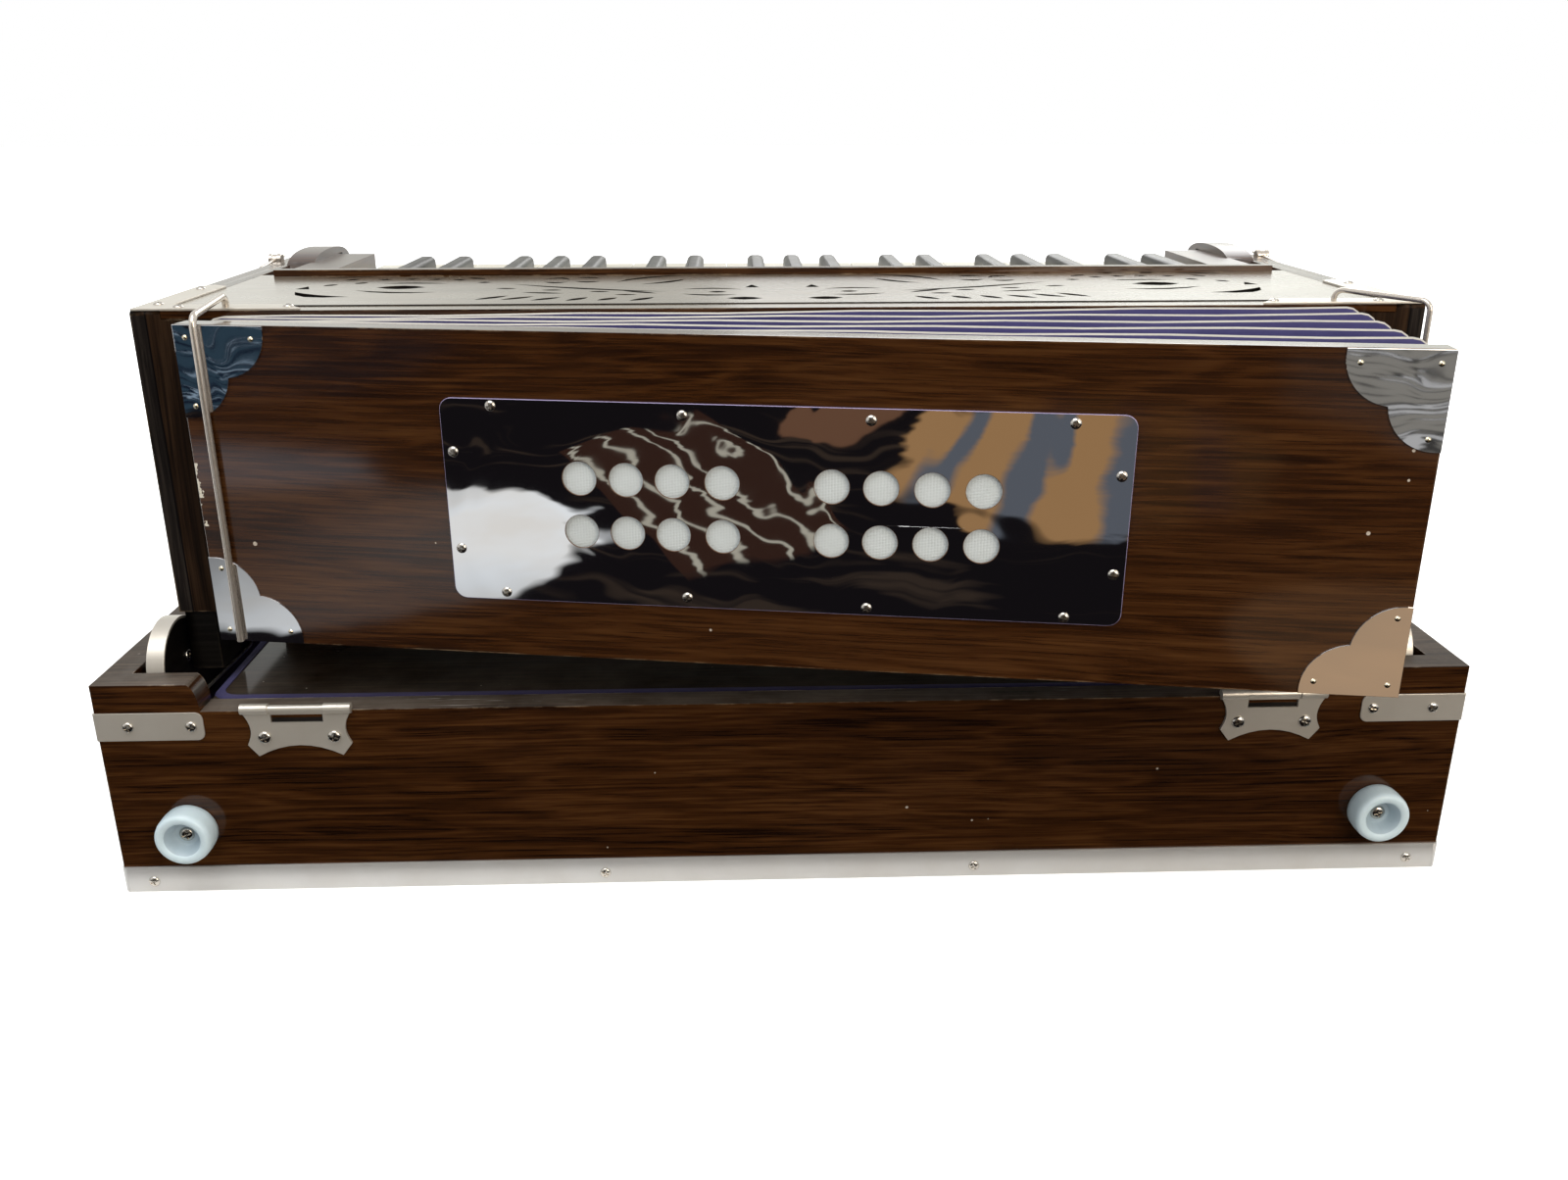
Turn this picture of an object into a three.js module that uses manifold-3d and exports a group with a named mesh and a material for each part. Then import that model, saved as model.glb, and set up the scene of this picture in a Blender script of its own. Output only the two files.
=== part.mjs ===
// A folding Indian harmonium of 42 keys, seen with its hand bellows swung part open.
// Millimetres, +Z up. The origin is the centre of the tray's underside.
// X runs along the keyboard, -Y is the bellows side and +Y is the player's side.

import * as THREE from 'three';
import { mergeVertices } from 'three/addons/utils/BufferGeometryUtils.js';
import Module from 'manifold-3d';

const wasm = await Module();
wasm.setup();

// Shared clearances
const seatGap = 0.3;
const overrun = 2;
const weldDistance = 0.0001;

// Tray, the lower half of the case
const trayLength = 725;
const trayDepth = 370;
const trayHeight = 122.5;
const trayWall = 16;
const trayFloor = 9;
const rimDrop = 15.5;
const earLength = 54.5;
const earNose = 6;

// Metal strip round the tray's foot
const stripHeight = 15;
const stripThickness = 1.2;
const stripCornerRadius = 3;

// Lift-off lid hinges on the back rim
const hingeWidth = 57;
const hingeDrop = 25.5;
const hingeInset = 104.3;
const leafThickness = 1.6;
const barrelRadius = 2.8;
const hingePinRadius = 2.1;
const knuckleLength = 14.1;
const hingeWindowWidth = 27.1;
const hingeWindowHeight = 6.3;
const hingeWaistShare = 0.43;
const hingeWaistDropShare = 0.42;
const hingeLobeShare = 0.475;
const hingeLobeDropShare = 0.74;
const hingeTipShare = 0.385;
const hingeArchDropShare = 0.76;

// Standing buffers on the back board
const bufferDiameter = 30;
const bufferHeight = 13.5;
const bufferInset = 39.5;
const bufferLift = 38;
const bufferRim = 3.2;
const bufferDishDepth = 9;
const bufferSeatRadius = 5.5;
const bufferShoulder = 2.5;

// Reservoir bellows in the tray, and its board
const reservoirEndGap = 43.5;
const reservoirSetback = 27;
const reservoirTop = 105;
const reservoirBoard = 8;
const reservoirFold = 6;
const reservoirFolds = 4;

// Body, the raised upper box
const bodyEndGap = 17;
const bodySetback = 44;
const bodyFrontSetback = 27;
const bodyFoot = 146.2;
const bodyHeight = 160.9;
const sideBoard = 15;
const sideBoardShy = 39;
const bodyFloor = 9;
const backWall = 12;
const topThickness = 4;
const topStripHeight = 5.5;
const topStripDepth = 8;
const topStripShy = 10;
const airPortWidth = 300;
const airPortHeight = 60;
const battenWidth = 30;
const battenInset = 30;
const battenSetback = 110;
const battenShy = 60;
const cornerBlockWidth = 16;
const cornerBlockLength = 28;
const cornerBlockDrop = 34;

// Keyboard
const whiteKeys = 25;
const octaveWhites = 7;
const keySideGap = 0.5;
const whiteDrop = 8;
const whiteThickness = 18;
const whiteExposed = 128;
const whiteHeadLength = 46;
const sharpWidth = 11;
const sharpRise = 11;
const sharpExposed = 80;
const sharpNose = 5;
const sharpSideGap = 0.8;
const keyBackGap = 2;
const keyFrontGap = 3;
const leverWidth = 9;
const leverHeight = 10;
const leverReachShare = 0.649;
const leverLap = 4;
const palletWidth = 11;
const palletShare = 0.46;
const keyBed = 13;
const keyBedDrop = 11;
const slipThickness = 15;
const slipDrop = 14;
const railDepth = 16;
const railShoulder = 6;
const pivotSetback = 5;
const sharpPlaceShares = [0.93, 2.07, 3.9, 5, 6.1];

// Cheeks beside the keys
const cheekBay = 40.25;
const cheekWidth = 25;
const cheekRise = 1.5;
const cheekShy = 37;
const scrollRise = 7;
const scrollShy = 8;
const scrollLength = 88;
const scrollShoulder = 4;

// Reed board and wind chest
const reedBoard = 20;
const reedSlotWidth = 5;
const reedSlotShare = 0.755;
const chestWall = 20;
const ledgerDepth = 8;
const ledgerHeight = 12;

// Hand bellows
const panelShy = 41;
const panelThickness = 12;
const panelLatchInset = 12;
const bellowsSwing = 9.16;
const windowBorderX = 25.15;
const windowBorderZ = 23.75;
const foldCount = 5;
const foldDepth = 13;
const foldRise = 1;
const foldSpread = 11;
const clothThickness = 2.4;
const clothInset = 2;

// Polished valve plate on the hand bellows
const plateLength = 320.3;
const plateHeight = 99.5;
const plateThickness = 1;
const plateFoot = 29.6;
const plateCornerRadius = 6;
const airHoleDiameter = 17.2;
const airHoleColumnShares = [0.205, 0.275, 0.344, 0.418, 0.578, 0.649, 0.722, 0.795];
const airHoleRowShares = [0.366, 0.628];

// Latch rods
const rodDiameter = 4;
const rodReach = 51.2;
const rodInset = 46;
const rodSetback = 6;
const rodRise = 7;
const rodBend = 6;
const rodFootGap = 0.8;
const rodSocketDepth = 12;
const latchedAngle = 3;
const swungAngle = 36;

// Lift levers between the tray's walls and the body
const leverPlateWidth = 9.4;
const leverHeadRadius = 26;
const leverTipRadius = 10;
const leverArm = 95;
const leverLie = -12;
const leverPivotSetback = 43;
const leverPivotHeight = 117;
const leverPinRadius = 4;
const leverSideGap = 6.2;

// How much further both edges of every fretwork slit bow, as a share of the top's depth
const slitEase = 0.006;

// Fretwork slits of the left half, mirrored to the right. Each row holds the start and the
// end along the half board and across it, then how far the two edges bow, all as shares.
const slitShares = [
  [0.818, 0.47, 0.711, 0.333, -0.075, -0.025],
  [0.794, 0.641, 0.774, 0.69, 0.012, -0.012],
  [0.779, 0.811, 0.755, 0.863, 0.01, -0.012],
  [0.748, 0.703, 0.729, 0.748, 0.012, -0.012],
  [0.825, 0.902, 0.731, 0.93, 0.012, -0.006],
  [0.705, 0.935, 0.667, 0.94, 0.008, -0.008],
  [0.624, 0.94, 0.591, 0.925, 0.008, -0.008],
  [0.563, 0.885, 0.53, 0.838, 0.01, -0.01],
  [0.697, 0.591, 0.612, 0.59, 0.045, -0.045],
  [0.705, 0.709, 0.581, 0.698, 0.022, 0.004],
  [0.724, 0.511, 0.58, 0.45, -0.05, -0.028],
  [0.49, 0.548, 0.453, 0.535, 0.009, -0.009],
  [0.438, 0.428, 0.365, 0.394, 0.009, -0.009],
  [0.474, 0.678, 0.195, 0.43, -0.018, -0.038],
  [0.409, 0.492, 0.372, 0.489, 0.009, -0.009],
  [0.5, 0.235, 0.452, 0.342, 0.012, -0.014],
  [0.459, 0.227, 0.409, 0.32, 0.012, -0.014],
  [0.409, 0.208, 0.364, 0.293, 0.012, -0.014],
  [0.352, 0.196, 0.32, 0.285, 0.012, -0.014],
  [0.302, 0.2, 0.272, 0.276, 0.012, -0.014],
  [0.25, 0.187, 0.212, 0.28, 0.012, -0.014],
  [0.425, 0.817, 0.376, 0.8, 0.062, 0.036],
  [0.42, 0.735, 0.376, 0.732, -0.012, -0.036],
  [0.369, 0.84, 0.324, 0.835, 0.045, 0.02],
  [0.366, 0.752, 0.318, 0.75, -0.012, -0.034],
  [0.327, 0.447, 0.29, 0.434, 0.009, -0.009],
  [0.281, 0.354, 0.242, 0.35, 0.009, -0.009],
  [0.27, 0.46, 0.21, 0.38, 0.012, -0.008],
  [0.292, 0.714, 0.162, 0.933, 0.06, 0.036],
  [0.246, 0.652, 0.169, 0.811, -0.012, -0.034],
  [0.095, 0.243, 0.036, 0.238, 0.03, -0.03],
  [0.172, 0.495, 0.069, 0.486, 0.034, 0.018],
  [0.17, 0.367, 0.078, 0.34, -0.014, -0.034],
  [0.126, 0.419, 0.095, 0.416, 0.014, -0.014],
];
const diamondShares = [
  [0.709, 0.834],
  [0.661, 0.842],
  [0.617, 0.833],
  [0.574, 0.812],
  [0.523, 0.73],
];
const diamondHalfLength = 4.6;
const diamondHalfDepthShare = 0.02;
const triangleShares = [
  [0.817, 0.59],
  [0.052, 0.58],
];
const triangleHalfLength = 4;
const triangleHalfDepthShare = 0.04;

// Facets
const slitSegments = 4;
const roundSegments = 24;
const holeSegments = 18;
const rodSteps = 36;
const rodSides = 8;

// Places that follow from the sizes
const trayBack = -trayDepth / 2;
const rimHeight = trayHeight - rimDrop;
const bodyLength = trayLength - 2 * (trayWall + bodyEndGap);
const bodyBack = trayBack + bodySetback;
const bodyFront = trayDepth / 2 - bodyFrontSetback;
const bodyTop = bodyFoot + bodyHeight;
const innerHalf = bodyLength / 2 - sideBoard;
const slipBack = bodyFront - slipThickness;
const topFront = slipBack - keyFrontGap - whiteExposed - keyBackGap;
const topDepth = topFront - bodyBack;
const topUnderside = bodyTop - topThickness;
const wallTop = topUnderside - seatGap;
const keyTop = bodyTop - whiteDrop;
const keyBottom = keyTop - whiteThickness;
const keySpan = 2 * (innerHalf - cheekBay - keySideGap);
const keyPitch = keySpan / whiteKeys;
const keyBack = topFront + keyBackGap;
const keyFront = keyBack + whiteExposed;
const pivotY = topFront - pivotSetback;
const pivotZ = keyBottom - seatGap;
const leverReach = leverReachShare * topDepth;
const leverBack = pivotY - leverReach;
const palletLength = palletShare * leverReach;
const reedSlotLength = reedSlotShare * palletLength;
const keyBedTop = keyBottom - keyBedDrop;
const slipTop = keyTop - slipDrop;
const cheekStart = keySpan / 2 + keySideGap;
const bedUnderside = keyBedTop - keyBed;
const reedTop = bedUnderside + reedBoard;
const reedBack = bodyBack + backWall + seatGap;
const reedFront = reedBack + topDepth - backWall - pivotSetback - railDepth;
const palletThickness = keyBottom - reedTop - seatGap;
const rodPivotX = bodyLength / 2 - rodInset;
const rodPivotY = bodyBack + rodSetback;
const rodHeight = bodyTop + rodRise;
const rodSocketRadius = rodDiameter / 2 + seatGap;
const panelLength = bodyLength - 2 * panelShy;
const panelHeight = bodyHeight - seatGap;
const plateStart = (panelLength - plateLength) / 2;
const latchX = -rodPivotX + rodReach * Math.sin(THREE.MathUtils.degToRad(latchedAngle));
const latchY = rodPivotY - rodReach * Math.cos(THREE.MathUtils.degToRad(latchedAngle));
const leverPivotY = trayBack + leverPivotSetback;
const leverOuter = trayLength / 2 - trayWall - leverSideGap;

// Finishes
const finish = (color, roughness, metalness) =>
  new THREE.MeshStandardMaterial({ color, roughness, metalness });
const lacquer = finish('#2b140a', 0.28, 0);
const dustyWood = finish('#3a2216', 0.7, 0);
const paleTop = finish('#3a2115', 0.3, 0);
const ebony = finish('#1a1716', 0.25, 0);
const ivory = finish('#e9e4d4', 0.3, 0);
const mirrorSteel = finish('#d9dadb', 0.05, 1);
const satinSteel = finish('#b9b9b4', 0.3, 1);
const nylon = finish('#f1f3f2', 0.35, 0);
const indigoCloth = finish('#2a2350', 0.9, 0);
const rawWood = finish('#b08a5a', 0.8, 0);

const model = new THREE.Group();

// Solids and booleans
function solidOf(geometry) {
  const plain = geometry.clone();
  plain.deleteAttribute('normal');
  plain.deleteAttribute('uv');
  const merged = mergeVertices(plain, weldDistance);
  return new wasm.Manifold(
    new wasm.Mesh({
      numProp: 3,
      vertProperties: new Float32Array(merged.attributes.position.array),
      triVerts: new Uint32Array(merged.index.array),
    }),
  );
}

function geometryOf(solid) {
  const mesh = solid.getMesh();
  const geometry = new THREE.BufferGeometry();
  geometry.setAttribute('position', new THREE.BufferAttribute(mesh.vertProperties, 3));
  geometry.setIndex(new THREE.BufferAttribute(mesh.triVerts, 1));
  geometry.computeVertexNormals();
  return geometry;
}

function join(...pieces) {
  return pieces.reduce((whole, piece) => whole.add(piece));
}

function cut(whole, ...tools) {
  return tools.reduce((rest, tool) => rest.subtract(tool), whole);
}

// A box between two corners
function boxBetween(x0, x1, y0, y1, z0, z1) {
  const geometry = new THREE.BoxGeometry(x1 - x0, y1 - y0, z1 - z0);
  geometry.translate((x0 + x1) / 2, (y0 + y1) / 2, (z0 + z1) / 2);
  return geometry;
}

function board(x0, x1, y0, y1, z0, z1) {
  return solidOf(boxBetween(x0, x1, y0, y1, z0, z1));
}

// An outline drawn in X and Y, raised along Z
function raise(outline, height, foot, segments = slitSegments) {
  const geometry = new THREE.ExtrudeGeometry(outline, {
    depth: height,
    bevelEnabled: false,
    curveSegments: segments,
  });
  geometry.translate(0, 0, foot);
  return geometry;
}

// An outline drawn in X and Z, with its thickness from front to back along Y
function stand(outline, thickness, front, segments = slitSegments) {
  const geometry = raise(outline, thickness, 0, segments);
  geometry.rotateX(Math.PI / 2);
  geometry.translate(0, front + thickness, 0);
  return geometry;
}

// An outline drawn in Y and Z, with its thickness along X
const alongX = new THREE.Matrix4().makeBasis(
  new THREE.Vector3(0, 1, 0),
  new THREE.Vector3(0, 0, 1),
  new THREE.Vector3(1, 0, 0),
);

function spread(outline, thickness, start, segments = slitSegments) {
  const geometry = raise(outline, thickness, 0, segments);
  geometry.applyMatrix4(alongX);
  geometry.translate(start, 0, 0);
  return geometry;
}

function rodAlongX(radius, x0, x1, y, z) {
  const geometry = new THREE.CylinderGeometry(radius, radius, x1 - x0, roundSegments);
  geometry.rotateZ(Math.PI / 2);
  geometry.translate((x0 + x1) / 2, y, z);
  return geometry;
}

function rodAlongZ(radius, x, y, z0, z1, segments = holeSegments) {
  const geometry = new THREE.CylinderGeometry(radius, radius, z1 - z0, segments);
  geometry.rotateX(Math.PI / 2);
  geometry.translate(x, y, (z0 + z1) / 2);
  return geometry;
}

function rectangle(x0, x1, y0, y1, radius = 0) {
  const outline = new THREE.Shape();
  outline.moveTo(x0 + radius, y0);
  outline.lineTo(x1 - radius, y0);
  if (radius) outline.absarc(x1 - radius, y0 + radius, radius, -Math.PI / 2, 0, false);
  outline.lineTo(x1, y1 - radius);
  if (radius) outline.absarc(x1 - radius, y1 - radius, radius, 0, Math.PI / 2, false);
  outline.lineTo(x0 + radius, y1);
  if (radius) outline.absarc(x0 + radius, y1 - radius, radius, Math.PI / 2, Math.PI, false);
  outline.lineTo(x0, y0 + radius);
  if (radius) outline.absarc(x0 + radius, y0 + radius, radius, Math.PI, 1.5 * Math.PI, false);
  return outline;
}

function circle(x, y, radius) {
  const outline = new THREE.Path();
  outline.absarc(x, y, radius, 0, 2 * Math.PI, false);
  return outline;
}

// A skin over rings of points, with a flat cap at each end
function loft(rings) {
  const sides = rings[0].length;
  const index = [];
  for (let ring = 0; ring < rings.length - 1; ring += 1) {
    const next = ring + 1;
    for (let side = 0; side < sides; side += 1) {
      const turn = (side + 1) % sides;
      const corner = [ring * sides + side, ring * sides + turn, next * sides + turn, next * sides + side];
      index.push(corner[0], corner[1], corner[2], corner[0], corner[2], corner[3]);
    }
  }
  const last = (rings.length - 1) * sides;
  for (let side = 1; side < sides - 1; side += 1) {
    index.push(0, side + 1, side);
    index.push(last, last + side, last + side + 1);
  }
  const geometry = new THREE.BufferGeometry();
  geometry.setAttribute('position', new THREE.Float32BufferAttribute(rings.flat(2), 3));
  geometry.setIndex(index);
  geometry.computeVertexNormals();
  return geometry;
}

function addNode(name, geometry, material, parent = model) {
  const mesh = new THREE.Mesh(geometry, material);
  mesh.name = name;
  parent.add(mesh);
  return mesh;
}

// The notch between two ears of a tray wall, in X and Z
function rimNotch() {
  const half = trayLength / 2 - earLength;
  const outline = new THREE.Shape();
  outline.moveTo(-half, rimHeight);
  outline.lineTo(half, rimHeight);
  outline.absellipse(half + earNose, rimHeight, earNose, rimDrop, Math.PI, Math.PI / 2, true);
  outline.lineTo(half + earNose, trayHeight + overrun);
  outline.lineTo(-half - earNose, trayHeight + overrun);
  outline.lineTo(-half - earNose, trayHeight);
  outline.absellipse(-half - earNose, rimHeight, earNose, rimDrop, Math.PI / 2, 0, true);
  return outline;
}

function makeTray() {
  const halfLength = trayLength / 2;
  const halfDepth = trayDepth / 2;
  const shell = board(-halfLength, halfLength, -halfDepth, halfDepth, 0, trayHeight);
  const hollow = board(
    -halfLength + trayWall,
    halfLength - trayWall,
    -halfDepth + trayWall,
    halfDepth - trayWall,
    trayFloor,
    trayHeight + overrun,
  );
  const notch = solidOf(stand(rimNotch(), trayDepth + 2 * overrun, -halfDepth - overrun));
  addNode('tray', geometryOf(cut(shell, hollow, notch)), lacquer);
}

function makeFootStrip() {
  const x = trayLength / 2 + stripThickness;
  const y = trayDepth / 2 + stripThickness;
  const outline = rectangle(-x, x, -y, y, stripCornerRadius);
  const inner = rectangle(-trayLength / 2, trayLength / 2, -trayDepth / 2, trayDepth / 2);
  outline.holes.push(inner);
  addNode('tray_foot_strip', raise(outline, stripHeight, 0), satinSteel);
}

// One leaf with its knuckles; the window under the pin takes the lid's hook
function hingeLeaf() {
  const half = hingeWidth / 2;
  const waist = hingeWidth * hingeWaistShare;
  const waistZ = -hingeDrop * hingeWaistDropShare;
  const lobe = hingeWidth * hingeLobeShare;
  const lobeZ = -hingeDrop * hingeLobeDropShare;
  const tip = hingeWidth * hingeTipShare;
  const archZ = -hingeDrop * hingeArchDropShare;
  const outline = new THREE.Shape();
  outline.moveTo(half, 0);
  outline.lineTo(-half, 0);
  outline.quadraticCurveTo(-waist, waistZ / 2, -waist, waistZ);
  outline.quadraticCurveTo(-waist, lobeZ * hingeLobeDropShare, -lobe, lobeZ);
  outline.lineTo(-tip, -hingeDrop);
  outline.quadraticCurveTo(-tip / 2, archZ, 0, archZ);
  outline.quadraticCurveTo(tip / 2, archZ, tip, -hingeDrop);
  outline.lineTo(lobe, lobeZ);
  outline.quadraticCurveTo(waist, lobeZ * hingeLobeDropShare, waist, waistZ);
  outline.quadraticCurveTo(waist, waistZ / 2, half, 0);
  const halfWindow = hingeWindowWidth / 2;
  outline.holes.push(rectangle(-halfWindow, halfWindow, -hingeWindowHeight, -leafThickness));
  return outline;
}

function makeLidHinge(name, x) {
  const front = trayBack - leafThickness;
  const half = hingeWidth / 2;
  const pinY = trayBack - leafThickness / 2;
  const leaf = stand(hingeLeaf(), leafThickness, front);
  leaf.translate(x, 0, rimHeight);
  const pinZ = rimHeight + barrelRadius / 2;
  const slot = rodAlongX(barrelRadius, x - half, x - half + knuckleLength, pinY, pinZ);
  const slotRight = rodAlongX(barrelRadius, x + half - knuckleLength, x + half, pinY, pinZ);
  const pin = rodAlongX(hingePinRadius, x - half + overrun, x + half - overrun, pinY, pinZ);
  const edge = board(
    x - hingeWidth,
    x + hingeWidth,
    trayBack,
    trayBack + trayWall,
    0,
    rimHeight + seatGap,
  );
  const whole = join(solidOf(leaf), solidOf(slot), solidOf(slotRight), solidOf(pin));
  addNode(name, geometryOf(cut(whole, edge)), satinSteel);
}

function makeBuffer(name, x) {
  const radius = bufferDiameter / 2;
  const profile = [
    new THREE.Vector2(0, 0),
    new THREE.Vector2(radius, 0),
    new THREE.Vector2(radius, bufferHeight - bufferShoulder),
    new THREE.Vector2(radius - bufferShoulder, bufferHeight),
    new THREE.Vector2(radius - bufferRim, bufferHeight),
    new THREE.Vector2(bufferSeatRadius, bufferHeight - bufferDishDepth),
    new THREE.Vector2(0, bufferHeight - bufferDishDepth),
  ];
  const mesh = addNode(name, new THREE.LatheGeometry(profile, roundSegments), nylon);
  mesh.rotation.x = Math.PI;
  mesh.position.set(x, trayBack, bufferLift);
}

// Folded cloth walls under a board, open to the tray's floor
function makeReservoir() {
  const x = trayLength / 2 - trayWall - reservoirEndGap;
  const back = trayBack + reservoirSetback;
  const front = -back;
  const foot = trayFloor + seatGap;
  const boardFoot = reservoirTop - reservoirBoard;
  const foldHeight = (boardFoot - foot) / (2 * reservoirFolds);
  const ring = (inset, z) => [
    [-x + inset, back + inset, z],
    [x - inset, back + inset, z],
    [x - inset, front - inset, z],
    [-x + inset, front - inset, z],
  ];
  const rings = [];
  for (let step = 0; step <= 2 * reservoirFolds; step += 1) {
    const inset = step % 2 === 0 ? reservoirFold : 2 * reservoirFold;
    rings.push(ring(inset, foot + step * foldHeight));
  }
  const wall = 2 * reservoirFold + clothThickness;
  const bore = board(-x + wall, x - wall, back + wall, front - wall, foot - overrun, boardFoot);
  const top = board(-x, x, back, front, boardFoot, reservoirTop);
  const folds = cut(solidOf(loft(rings)), bore);
  addNode('reservoir_bellows', geometryOf(join(folds, top)), dustyWood);
}

// The scroll cheek's outline in Y and Z
function scrollOutline() {
  const end = bodyFront - scrollShy;
  const start = end - scrollLength;
  const crest = bodyTop + scrollRise;
  const shoulder = bodyTop - scrollShoulder;
  const outline = new THREE.Shape();
  outline.moveTo(keyBack, bedUnderside);
  outline.lineTo(end, bedUnderside);
  outline.lineTo(end, shoulder);
  outline.quadraticCurveTo(end - scrollShoulder, crest, start + scrollLength / 2, crest);
  outline.quadraticCurveTo(start + scrollShoulder, crest, start, shoulder);
  outline.lineTo(keyBack, shoulder);
  return outline;
}

function bodyBoards() {
  const half = bodyLength / 2;
  const sideFront = bodyFront - sideBoardShy;
  const sides = [-half, half - sideBoard].flatMap((x) => [
    board(x, x + sideBoard, bodyBack, sideFront, bodyFoot, bodyTop),
    board(x, x + sideBoard, sideFront - overrun, bodyFront, bodyFoot, slipTop),
  ]);
  const wallFront = bodyBack + backWall;
  const chestFront = reedFront + seatGap;
  return [
    ...sides,
    board(-half, half, bodyBack, bodyFront, bodyFoot, bodyFoot + bodyFloor),
    board(-innerHalf, innerHalf, bodyBack, wallFront, bodyFoot, wallTop),
    board(-innerHalf, innerHalf, wallFront, wallFront + ledgerDepth, bedUnderside - ledgerHeight, bedUnderside),
    board(-innerHalf, innerHalf, chestFront - chestWall / 2, chestFront + chestWall / 2, bodyFoot, bedUnderside),
    board(-innerHalf, innerHalf, chestFront, slipBack, bedUnderside, keyBedTop),
    board(-half, half, slipBack, bodyFront, bodyFoot, slipTop),
  ];
}

function bodyFeet() {
  const feet = [];
  const battenOuter = bodyLength / 2 - battenInset;
  const battenBack = trayBack + battenSetback;
  const blockOuter = bodyLength / 2 - overrun;
  const blockBack = bodyBack + overrun;
  for (const side of [-1, 1]) {
    const battenX = [side * battenOuter, side * (battenOuter - battenWidth)].sort((a, b) => a - b);
    feet.push(board(...battenX, battenBack, trayDepth / 2 - battenShy, reservoirTop, bodyFoot + overrun));
    const blockX = [side * blockOuter, side * (blockOuter - cornerBlockWidth)].sort((a, b) => a - b);
    feet.push(
      board(...blockX, blockBack, blockBack + cornerBlockLength, bodyFoot - cornerBlockDrop, bodyFoot + overrun),
    );
  }
  return feet;
}

function bodyCheeks() {
  const cheekTop = bodyTop + cheekRise;
  const cheekEnd = cheekStart + cheekWidth;
  const scrollWidth = innerHalf - cheekEnd + overrun;
  return [-1, 1].flatMap((side) => {
    const x = [side * cheekStart, side * (cheekEnd + overrun)].sort((a, b) => a - b);
    const scrollX = side > 0 ? cheekEnd : -cheekEnd - scrollWidth;
    return [
      board(...x, keyBack, bodyFront - cheekShy, bedUnderside, cheekTop),
      solidOf(spread(scrollOutline(), scrollWidth, scrollX, roundSegments / 2)),
    ];
  });
}

function rodSockets(depth) {
  return [-rodPivotX, rodPivotX].map((x) =>
    solidOf(rodAlongZ(rodSocketRadius, x, rodPivotY, bodyTop - depth, bodyTop + overrun)),
  );
}

// The back wall's port lets the bellows' wind in, and the chest wall's lets it through
function windPorts() {
  const foot = bodyFoot + bodyHeight / 2 - airPortHeight / 2;
  const chestFront = reedFront + seatGap;
  const walls = [
    [bodyBack, bodyBack + backWall],
    [chestFront - chestWall / 2, chestFront + chestWall / 2],
  ];
  return walls.map(([back, front]) =>
    board(-airPortWidth / 2, airPortWidth / 2, back - overrun, front + overrun, foot, foot + airPortHeight),
  );
}

function makeBodyCase() {
  const whole = join(...bodyBoards(), ...bodyFeet(), ...bodyCheeks());
  const depth = rodRise + rodSocketDepth + seatGap;
  addNode('body_case', geometryOf(cut(whole, ...windPorts(), ...rodSockets(depth))), lacquer);
}

// One slit between two points, with both edges bowed
function slit(x0, y0, x1, y1, bow, backBow) {
  const away = new THREE.Vector2(y0 - y1, x1 - x0).normalize();
  const middle = new THREE.Vector2((x0 + x1) / 2, (y0 + y1) / 2);
  const near = middle.clone().addScaledVector(away, 2 * bow);
  const far = middle.clone().addScaledVector(away, 2 * backBow);
  const outline = new THREE.Shape();
  outline.moveTo(x0, y0);
  outline.quadraticCurveTo(near.x, near.y, x1, y1);
  outline.quadraticCurveTo(far.x, far.y, x0, y0);
  return outline;
}

function pointed(points) {
  return new THREE.Shape(points.map(([x, y]) => new THREE.Vector2(x, y)));
}

function fretworkHoles() {
  const half = bodyLength / 2;
  const place = (along, across) => [-along * half, bodyBack + across * topDepth];
  const diamondHalfDepth = diamondHalfDepthShare * topDepth;
  const triangleHalfDepth = triangleHalfDepthShare * topDepth;
  const left = slitShares.map(([a0, c0, a1, c1, bow, backBow]) => {
    const ease = slitEase * Math.sign(bow - backBow);
    return slit(...place(a0, c0), ...place(a1, c1), (bow + ease) * topDepth, (backBow - ease) * topDepth);
  });
  for (const [along, across] of diamondShares) {
    const [x, y] = place(along, across);
    left.push(
      pointed([
        [x - diamondHalfLength, y],
        [x, y - diamondHalfDepth],
        [x + diamondHalfLength, y],
        [x, y + diamondHalfDepth],
      ]),
    );
  }
  for (const [along, across] of triangleShares) {
    const [x, y] = place(along, across);
    left.push(
      pointed([
        [x - triangleHalfLength, y - triangleHalfDepth],
        [x + triangleHalfLength, y - triangleHalfDepth],
        [x, y + triangleHalfDepth],
      ]),
    );
  }
  return left;
}

function makeFretworkTop() {
  const x = innerHalf - seatGap;
  const plate = board(-x, x, bodyBack, topFront, topUnderside, bodyTop);
  const stripX = x - topStripShy;
  const stripTop = bodyTop + topStripHeight;
  const strip = board(-stripX, stripX, topFront - topStripDepth, topFront, topUnderside, stripTop);
  const depth = topThickness + 2 * overrun;
  const foot = topUnderside - overrun;
  const left = fretworkHoles().map((outline) => solidOf(raise(outline, depth, foot)));
  const right = left.map((tool) => tool.mirror([1, 0, 0]));
  const plateOpen = cut(plate, wasm.Manifold.union([...left, ...right]));
  addNode('fretwork_top', geometryOf(cut(join(plateOpen, strip), ...rodSockets(depth))), paleTop);
}

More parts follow.
